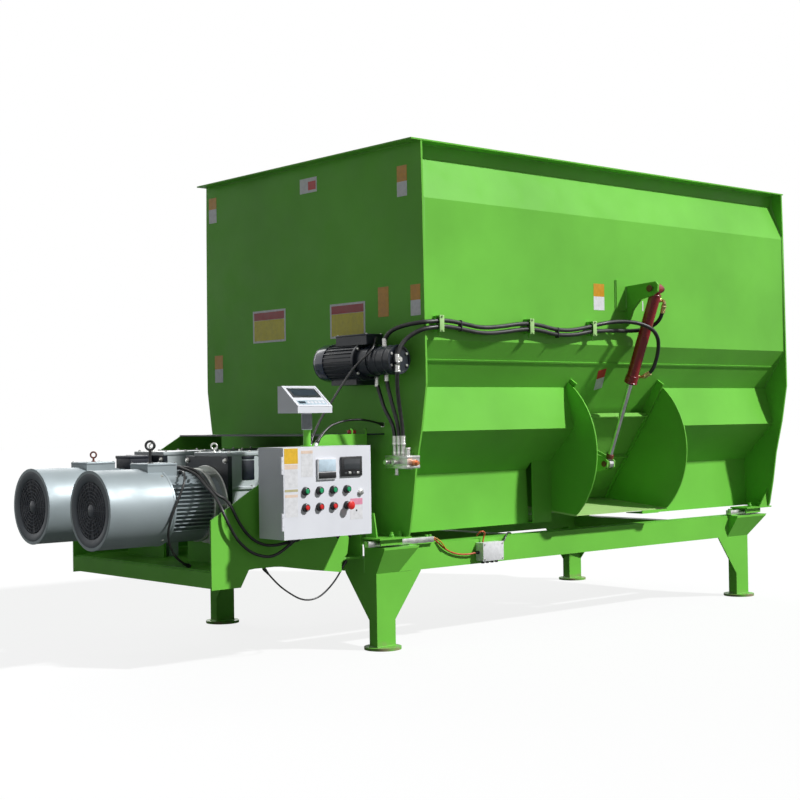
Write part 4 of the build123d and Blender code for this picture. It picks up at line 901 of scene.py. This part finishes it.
class MIXER_OT_cabinet(bpy.types.Operator):
    """Fit the control cabinet's front with buttons, meter, lock and blank labels"""

    bl_idname = "mixer.cabinet"
    bl_label = "Control cabinet"

    def execute(self, context):
        r = context.scene.mixer_sizes.button
        y = CAB_Y
        labels = bmesh.new()
        looks = ["label_yellow", "label_white", "label_pale", "label_olive", "label_pink", "black"]
        for x0, x1, z0, z1, look in (
                (-2.3995, -2.3135, 1.031, 1.108, 0), (-2.3975, -2.3155, 1.004, 1.027, 2),
                (-2.3975, -2.3155, 0.912, 1.002, 1), (-2.3975, -2.3155, 0.89, 0.902, 3),
                (-2.3965, -2.3165, 0.862, 0.876, 2), (-2.3965, -2.3165, 0.763, 0.86, 1),
                (-2.2935, -2.2185, 1.08, 1.095, 2), (-2.2935, -2.2185, 0.962, 1.079, 1),
                (-1.9765, -1.8945, 0.806, 0.839, 4), (-1.9765, -1.8945, 0.73, 0.805, 1),
                (-1.94, -1.931, 0.772, 0.781, 5)):
            slab(labels, (x0, y - (0.0012 if look == 5 else 0.0006), z0), (x1, y + 0.0005, z1), 0, look)
        piece("cabinet_labels", labels, looks, "cabinet_door")

        dials = bmesh.new()
        slab(dials, (-2.1945, y - 0.0105, 0.945), (-2.0715, y - 0.007, 1.053), 0.0015, 0)
        slab(dials, (-2.1885, y - 0.0125, 0.986), (-2.0775, y - 0.0095, 1.047), 0.001, 1)
        slab(dials, (-2.1885, y - 0.0145, 0.951), (-2.0775, y - 0.0095, 0.981), 0.002, 2)
        slab(dials, (-2.0405, y - 0.011, 0.956), (-1.9005, y - 0.0005, 1.058), 0.003, 2)
        slab(dials, (-2.0235, y - 0.0122, 0.992), (-1.9175, y - 0.0105, 1.046), 0.001, 3)
        for k in range(4):
            x = -2.02 + k * 0.027
            slab(dials, (x, y - 0.0125, 0.967), (x + 0.017, y - 0.0105, 0.979), 0.001, 3 + k % 2)
        piece("cabinet_meters", dials, ["label_white", "window", "black", "screen", "zinc"], "cabinet_door")

        bezels, green, red = bmesh.new(), bmesh.new(), bmesh.new()
        for k in range(4):
            for z, caps in ((0.89, green), (0.807, red)):
                x = -2.2695 + 0.09 * k
                lathe(bezels, [(0, -0.003), (r + 0.0085, -0.003), (r + 0.0095, 0), (r + 0.0095, 0.006),
                               (r + 0.0065, 0.0168), (r + 0.003, 0.019), (r + 0.0008, 0.0175), (0, 0.017)],
                      (x, y, z), -Y, 32)
                if z < 0.85 and k == 3:
                    lathe(caps, [(0, 0.016), (0.009, 0.016), (0.009, 0.028), (0.02, 0.031), (0.0225, 0.036),
                                 (0.021, 0.042), (0.013, 0.046), (0, 0.047)], (x, y, z), -Y, 36)
                else:
                    lathe(caps, [(0, 0.016), (r, 0.016), (r, 0.0205), (r - 0.002, 0.023), (0, 0.024)],
                          (x, y, z), -Y, 28)
        piece("button_bezels", bezels, ["black"], "cabinet_door")
        piece("start_buttons", green, ["button_green"], "cabinet_door")
        piece("stop_buttons", red, ["button_red"], "cabinet_door")

        lock = bmesh.new()
        lathe(lock, [(0, 0.0125), (0.01, 0.0125), (0.0125, 0.0115), (0.015, 0.0105), (0.015, 0), (0, 0)],
              (-1.9085, y, 0.87), -Y, 28, False, 0)
        slab(lock, (-1.9098, y - 0.0132, 0.862), (-1.9072, y - 0.012, 0.878), 0, 1)
        piece("cabinet_lock", lock, ["zinc", "black"], "cabinet_door")
        entries = bmesh.new()
        for x in (-2.3, -1.99, -1.91):
            rod(entries, (x, -0.86, CAB_Z0 + 0.001), (x, -0.86, CAB_Z0 - 0.012), 0.013, sides=6, edge=0.001)
            rod(entries, (x, -0.86, CAB_Z0 - 0.012), (x, -0.86, CAB_Z0 - 0.02), 0.009, 0.006, 20)
        piece("cabinet_glands", entries, ["black"])
        return {"FINISHED"}


class MIXER_OT_display(bpy.types.Operator):
    """Give the weighing display its screen, keys, collar and post"""

    bl_idname = "mixer.display"
    bl_label = "Weighing display"

    def execute(self, context):
        slope = Vector((0, 0.14, 0.107)).normalized()
        out = Vector((0, -slope.z, slope.y))
        axes = Matrix((X, slope, out)).transposed().to_4x4()
        place = Matrix.Translation((-2.3055, -0.946, 1.318)) @ axes
        face = bmesh.new()
        w, h = 0.222, 0.1762
        for low, high in (((0, 0, -0.001), (w, 0.01, 0.003)), ((0, h - 0.012, -0.001), (w, h, 0.003)),
                          ((0, 0.01, -0.001), (0.012, h - 0.012, 0.003)),
                          ((w - 0.012, 0.01, -0.001), (w, h - 0.012, 0.003))):
            slab(face, low, high, 0.0012, 0, place)
        slab(face, (0.02, 0.078, -0.001), (w - 0.02, h - 0.018, 0.0014), 0.0006, 1, place)
        slab(face, (0.034, 0.094, 0.001), (w - 0.034, h - 0.03, 0.0018), 0, 2, place)
        slab(face, (0.022, 0.018, -0.001), (w - 0.022, 0.052, 0.0012), 0.0006, 3, place)
        slab(face, (0.028, 0.026, 0.001), (0.07, 0.044, 0.002), 0, 2, place)
        for k in range(5):
            x = 0.08 + k * 0.0235
            slab(face, (x, 0.025, 0.001), (x + 0.018, 0.045, 0.0024), 0.0008, 0, place)
        piece("display_face", face, ["cabinet", "screen", "key_dark", "keys"])
        post = bmesh.new()
        rod(post, (-2.1495, -0.815, 1.112), (-2.1495, -0.815, 1.215), 0.0195, sides=28, index=0)
        lathe(post, [(0.0185, 0), (0.0275, 0), (0.0285, 0.003), (0.0285, 0.074), (0.0275, 0.078),
                     (0.0185, 0.078)], (-2.1495, -0.815, 1.203), Z, 32, True, 1)
        rod(post, (-2.1495, -0.843, 1.225), (-2.1495, -0.855, 1.225), 0.006, sides=12, index=1)
        rod(post, (-2.1495, -0.815, 1.112), (-2.1495, -0.815, 1.118), 0.036, sides=28, edge=0.002, index=0)
        piece("display_post", post, ["green", "cast_grey"])
        return {"FINISHED"}


class MIXER_OT_tub(bpy.types.Operator):
    """Run weld beads round the tub and stick on its blank labels"""

    bl_idname = "mixer.tub"
    bl_label = "Tub details"

    def execute(self, context):
        runs = []
        for s in (-1, 1):
            for x in (XF + 0.0145, XR - 0.0145):
                runs.append([(x, s * (y + 0.001), z) for y, z in WALL] + [(x, s * 0.87, 1.432)])
            runs.append([(XF + 0.013, s * 0.9485, 2.7455), (XR - 0.013, s * 0.9485, 2.7455)])
        for x in (XF - 0.0015, XR + 0.0015):
            runs.append([(x, -0.94, 2.7455), (x, 0.94, 2.7455)])
        for x in (0.0555, 0.1655):
            runs.append([(x, -1.0315, 1.892), (x, -1.0315, 2.071)])
        runs.append([(0.0595, -1.0315, 1.889), (0.1635, -1.0315, 1.889)])
        runs.append([(0.1455, -1.041, 1.905), (0.1455, -1.041, 2.035)])
        weld_runs("tub_welds", runs, context.scene.mixer_sizes.bead)

        signs = bmesh.new()
        white, lemon, dark_red, orange, red, grey = range(6)

        def sticker(y0, y1, z0, z1, look):
            slab(signs, (XF - 0.0008, y0, z0), (XF + 0.0005, y1, z1), 0, look)

        def printed(y0, y1, z0, z1, look):
            slab(signs, (XF - 0.0014, y0, z0), (XF, y1, z1), 0, look)

        for y0, y1, z0, z1 in ((0.199, 0.533, 1.726, 1.922), (-0.545, -0.229, 1.716, 1.914)):
            sticker(y0, y1, z0, z1, white)
            printed(y0 + 0.014, y1 - 0.014, z0 + 0.012, z1 - 0.06, lemon)
            printed(y0 + 0.014, y1 - 0.014, z1 - 0.058, z1 - 0.012, dark_red)
        for y0, y1, z0, z1, low, share in (
                (0.915, 1, 2.516, 2.676, white, 0.45), (0.866, 0.955, 1.497, 1.668, grey, 0.5),
                (-0.914, -0.832, 2.462, 2.63, white, 0.52), (-1.01, -0.93, 1.806, 1.974, white, 0.5)):
            middle = z0 + (z1 - z0) * (1 - share)
            sticker(y0, y1, z0, middle, low)
            sticker(y0, y1, middle, z1, orange)
        sticker(-0.748, -0.658, 1.815, 1.98, orange)
        sticker(-0.122, 0.04, 2.585, 2.672, white)
        printed(-0.112, -0.04, 2.6, 2.65, red)
        for x0, x1, z0, z1, look in (
                (-0.14, -0.044, 1.965, 2.042, orange), (-0.14, -0.044, 1.884, 1.965, white),
                (0.3105, 0.3205, 1.893, 1.955, white)):
            slab(signs, (x0, -1.0308, z0), (x1, -1.0295, z1), 0, look)
        slope = turned((0.06, -0.8958, 1.4735), 33.94) @ Matrix.Rotation(math.radians(-17), 4, "Y")
        slab(signs, (-0.033, -0.0012, 0.01), (0.033, 0.001, 0.073), 0, red, slope)
        slab(signs, (-0.033, -0.0012, -0.073), (0.033, 0.001, 0.01), 0, grey, slope)
        piece("tub_labels", signs, ["label_white", "label_lemon", "label_dark_red", "label_orange",
                                    "label_red", "label_grey"])
        return {"FINISHED"}


class MIXER_OT_base(bpy.types.Operator):
    """Add nuts, weigh cells' steel, beads and the junction box to the base"""

    bl_idname = "mixer.base"
    bl_label = "Base details"

    def execute(self, context):
        size = context.scene.mixer_sizes.bolt
        cells, nuts = bmesh.new(), bmesh.new()
        for s in (-1, 1):
            for x0, x1 in ((-1.7489, -1.2731), (1.4671, 1.7829)):
                y0, y1 = sorted((s * 0.7796, s * 0.8204))
                slab(cells, (x0, y0, 0.5607), (x1, y1, 0.5926), 0.0015)
            for x in (-1.5975, -1.5375, 1.6625, 1.7725):
                stack(nuts, (x, s * 0.835, 0.6085), Z, [(0, 0.0035, size * 1.15),
                                                                (0.0035, 0.0155, size, 6, 0.001)])
            for x in (-1.31, -1.285, 1.477, 1.5):
                rod(nuts, (x, s * 0.8, 0.5926), (x, s * 0.8, 0.602), 0.009, sides=16, edge=0.001)
        piece("weigh_beams", cells, ["silver"])
        piece("cell_nuts", nuts, ["bead"])

        runs = [[(x + a * 0.066, y + b * 0.0325, 0.0165) for a, b in
                 ((-1, -1), (1, -1), (1, 1), (-1, 1), (-1, -1))]
                for x in (-1.6135, 1.6135) for y in (-0.7675, 0.7675)]
        for s in (-1, 1):
            for x in (-1.6795, -1.5795, -0.05, 0.05, 1.5795, 1.6795):
                runs.append([(x, s * 0.699, 0.415), (x, s * 0.699, 0.488)])
            runs.append([(-2.6, s * 0.694, 0.5015), (-1.7, s * 0.694, 0.5015)])
        weld_runs("base_welds", runs, context.scene.mixer_sizes.bead)

        box = bmesh.new()
        slab(box, (-0.9315, -0.86, 0.43), (-0.7695, -0.8, 0.534), 0.004)
        slab(box, (-0.9335, -0.8645, 0.428), (-0.7675, -0.856, 0.536), 0.003)
        for x in (-0.921, -0.78):
            for z in (0.44, 0.524):
                rod(box, (x, -0.864, z), (x, -0.8675, z), 0.006, sides=14, edge=0.001, index=1)
        for x in (-0.905, -0.87, -0.832, -0.796):
            rod(box, (x, -0.83, 0.431), (x, -0.83, 0.414), 0.01, sides=6, edge=0.001, index=2)
        for x, z, s in ((-0.9315, 0.478, -1), (-0.7695, 0.506, 1)):
            stack(box, (x, -0.823, z), (s, 0, 0), [(-0.002, 0.014, 0.0105, 6, 0.001),
                                                   (0.014, 0.024, 0.008, 18, 0, 0.0056)], 2)
        piece("junction_box_shell", box, ["label_white", "zinc", "black"], replaces=("junction_box",))
        tube("signal_wire_loop", [[
            (-0.93, -0.808, 0.572), (-0.926, -0.822, 0.592), (-0.905, -0.832, 0.6), (-0.88, -0.828, 0.588),
            (-0.886, -0.818, 0.56), (-0.896, -0.822, 0.53)]], 0.0045, "wire_red", "base")
        tube("signal_wire_tail", [[
            (-1.262, -0.8, 0.586), (-1.236, -0.812, 0.576), (-1.212, -0.824, 0.548), (-1.186, -0.82, 0.52)]],
            0.0035, "label_orange", "base")
        return {"FINISHED"}


class MIXER_OT_augers(bpy.types.Operator):
    """Wind the flights round the auger shafts, each side towards the door"""

    bl_idname = "mixer.augers"
    bl_label = "Augers"

    def execute(self, context):
        sizes = context.scene.mixer_sizes
        per_turn, pitch = sizes.flight_steps, sizes.pitch
        for body, y, hand in (("auger_near", -AUG_Y, 1), ("auger_far", AUG_Y, -1)):
            bm = bmesh.new()
            rod(bm, (XF - 0.03, y, AUG_Z), (XR + 0.04, y, AUG_Z), 0.045, sides=48)
            for start, end in ((XF + 0.06, DOOR_X - 0.02), (XR - 0.075, DOOR_X + 0.02)):
                steps = round(abs(end - start) / pitch * per_turn)
                corners = [bm.verts.new((start + dx, y, AUG_Z + r)) for dx, r in (
                    (-0.005, 0.043), (0.005, 0.043), (0.004, 0.178), (0.0025, 0.185), (-0.0025, 0.185),
                    (-0.004, 0.178))]
                face = bm.faces.new(corners)
                way = X * math.copysign(pitch / per_turn, end - start)
                angle = math.tau * steps / per_turn * hand
                bmesh.ops.spin(bm, geom=[face, *face.edges, *corners], cent=(start, y, AUG_Z), axis=X,
                               dvec=way, angle=angle, steps=steps, use_merge=False)
                bmesh.ops.recalc_face_normals(bm, faces=fresh(bm))
                mark(bm, 0)
            piece(body + "_screw", bm, ["steel"], body, (body,), 30)
        return {"FINISHED"}


class MIXER_OT_stage(bpy.types.Operator):
    """Stand the mixer on a pale floor, lit softly, before the camera"""

    bl_idname = "mixer.stage"
    bl_label = "Stage"

    def execute(self, context):
        scene, stage = context.scene, context.scene.mixer_stage
        look = Vector((math.cos(stage.heading) * math.cos(stage.tilt),
                       math.sin(stage.heading) * math.cos(stage.tilt),
                       math.sin(stage.tilt)))
        level = Vector((math.sin(stage.heading), -math.cos(stage.heading), 0))
        above = level.cross(look)
        right = math.cos(stage.roll) * level + math.sin(stage.roll) * above
        up = -math.sin(stage.roll) * level + math.cos(stage.roll) * above
        camera = shown("camera", bpy.data.cameras.new("camera"))
        axes = Matrix((right, up, -look)).transposed()
        camera.matrix_world = Matrix.Translation(stage.eye) @ axes.to_4x4()
        camera.data.sensor_width = 36
        camera.data.lens = stage.lens
        scene.camera = camera

        for name, way, energy, softness in (
                ("key", stage.sun_from, stage.key_power, 3),
                ("fill", stage.fill_from, stage.fill_power, 40)):
            lamp = shown(name, bpy.data.lights.new(name, "SUN"))
            lamp.data.energy = energy
            lamp.data.angle = math.radians(softness)
            lamp.matrix_world = Vector(way).to_track_quat("Z", "Y").to_matrix().to_4x4()

        # a dim sky lights the mixer, and a white one is seen and mirrored
        scene.world = bpy.data.worlds.new("studio")
        scene.world.use_nodes = True
        tree = scene.world.node_tree
        tree.nodes.clear()
        path = tree.nodes.new("ShaderNodeLightPath").outputs
        seen = node(tree, "Math", 0, {0: path["Is Camera Ray"], 1: path["Is Glossy Ray"]},
                    operation="MAXIMUM")
        seen = node(tree, "Math", 0, {0: seen, 1: path["Is Transmission Ray"]}, operation="MAXIMUM")
        dim = node(tree, "Background", 0, {"Color": (0.9, 0.95, 1), "Strength": stage.sky_power})
        white = node(tree, "Background", 0, {"Color": (1, 1, 1), "Strength": 1})
        sky = node(tree, "MixShader", 0, {0: seen, 1: dim, 2: white})
        feed(tree, sky, tree.nodes.new("ShaderNodeOutputWorld").inputs["Surface"])

        # the floor is near white to the camera, and dark to the light that it throws back
        sheet = bmesh.new()
        bmesh.ops.create_grid(sheet, x_segments=1, y_segments=1, size=60)
        mesh = bpy.data.meshes.new("floor")
        sheet.to_mesh(mesh)
        sheet.free()
        material = bpy.data.materials.new("pale_floor")
        material.use_nodes = True
        tree = material.node_tree
        shader = tree.nodes["Principled BSDF"]
        camera_ray = tree.nodes.new("ShaderNodeLightPath").outputs["Is Camera Ray"]
        tone = node(tree, "Mix", 2, {0: camera_ray, 6: (0.14, 0.15, 0.14), 7: (0.86, 0.86, 0.86)},
                    data_type="RGBA")
        feed(tree, tone, shader.inputs["Base Color"])
        shader.inputs["Roughness"].default_value = 0.9
        glow = node(tree, "Emission", 0, {"Color": (1, 1, 1)})
        share = node(tree, "Math", 0, {0: camera_ray, 1: 0.84}, operation="MULTIPLY")
        surface = node(tree, "MixShader", 0, {0: share, 1: shader.outputs[0], 2: glow})
        feed(tree, surface, tree.nodes["Material Output"].inputs["Surface"])
        mesh.materials.append(material)
        shown("floor", mesh)
        scene.view_settings.view_transform = "Standard"
        return {"FINISHED"}


class MIXER_PT_panel(bpy.types.Panel):
    """Steps that fit out the mixer"""

    bl_idname = "MIXER_PT_panel"
    bl_label = "Stationary mixer"
    bl_space_type = "VIEW_3D"
    bl_region_type = "UI"
    bl_category = "Mixer"

    def draw(self, context):
        for step in OPERATORS:
            self.layout.operator(step.bl_idname)


OPERATORS = (MIXER_OT_paint, MIXER_OT_cables, MIXER_OT_hoses, MIXER_OT_motors, MIXER_OT_gearboxes,
             MIXER_OT_hydraulics, MIXER_OT_cylinder, MIXER_OT_cabinet, MIXER_OT_display, MIXER_OT_tub,
             MIXER_OT_base, MIXER_OT_augers, MIXER_OT_stage)
CLASSES = (MixerPaints, MixerSizes, MixerStage, *OPERATORS, MIXER_PT_panel)


def register():
    for each in CLASSES:
        bpy.utils.register_class(each)
    bpy.types.Scene.mixer_paints = bpy.props.PointerProperty(type=MixerPaints)
    bpy.types.Scene.mixer_sizes = bpy.props.PointerProperty(type=MixerSizes)
    bpy.types.Scene.mixer_stage = bpy.props.PointerProperty(type=MixerStage)


def unregister():
    del bpy.types.Scene.mixer_stage
    del bpy.types.Scene.mixer_sizes
    del bpy.types.Scene.mixer_paints
    for each in reversed(CLASSES):
        bpy.utils.unregister_class(each)


def main():
    register()
    bpy.ops.mixer.paint()
    bpy.ops.mixer.cables()
    bpy.ops.mixer.hoses()
    bpy.ops.mixer.motors()
    bpy.ops.mixer.gearboxes()
    bpy.ops.mixer.hydraulics()
    bpy.ops.mixer.cylinder()
    bpy.ops.mixer.cabinet()
    bpy.ops.mixer.display()
    bpy.ops.mixer.tub()
    bpy.ops.mixer.base()
    bpy.ops.mixer.augers()
    bpy.ops.mixer.stage()


if __name__ == "__main__":
    main()
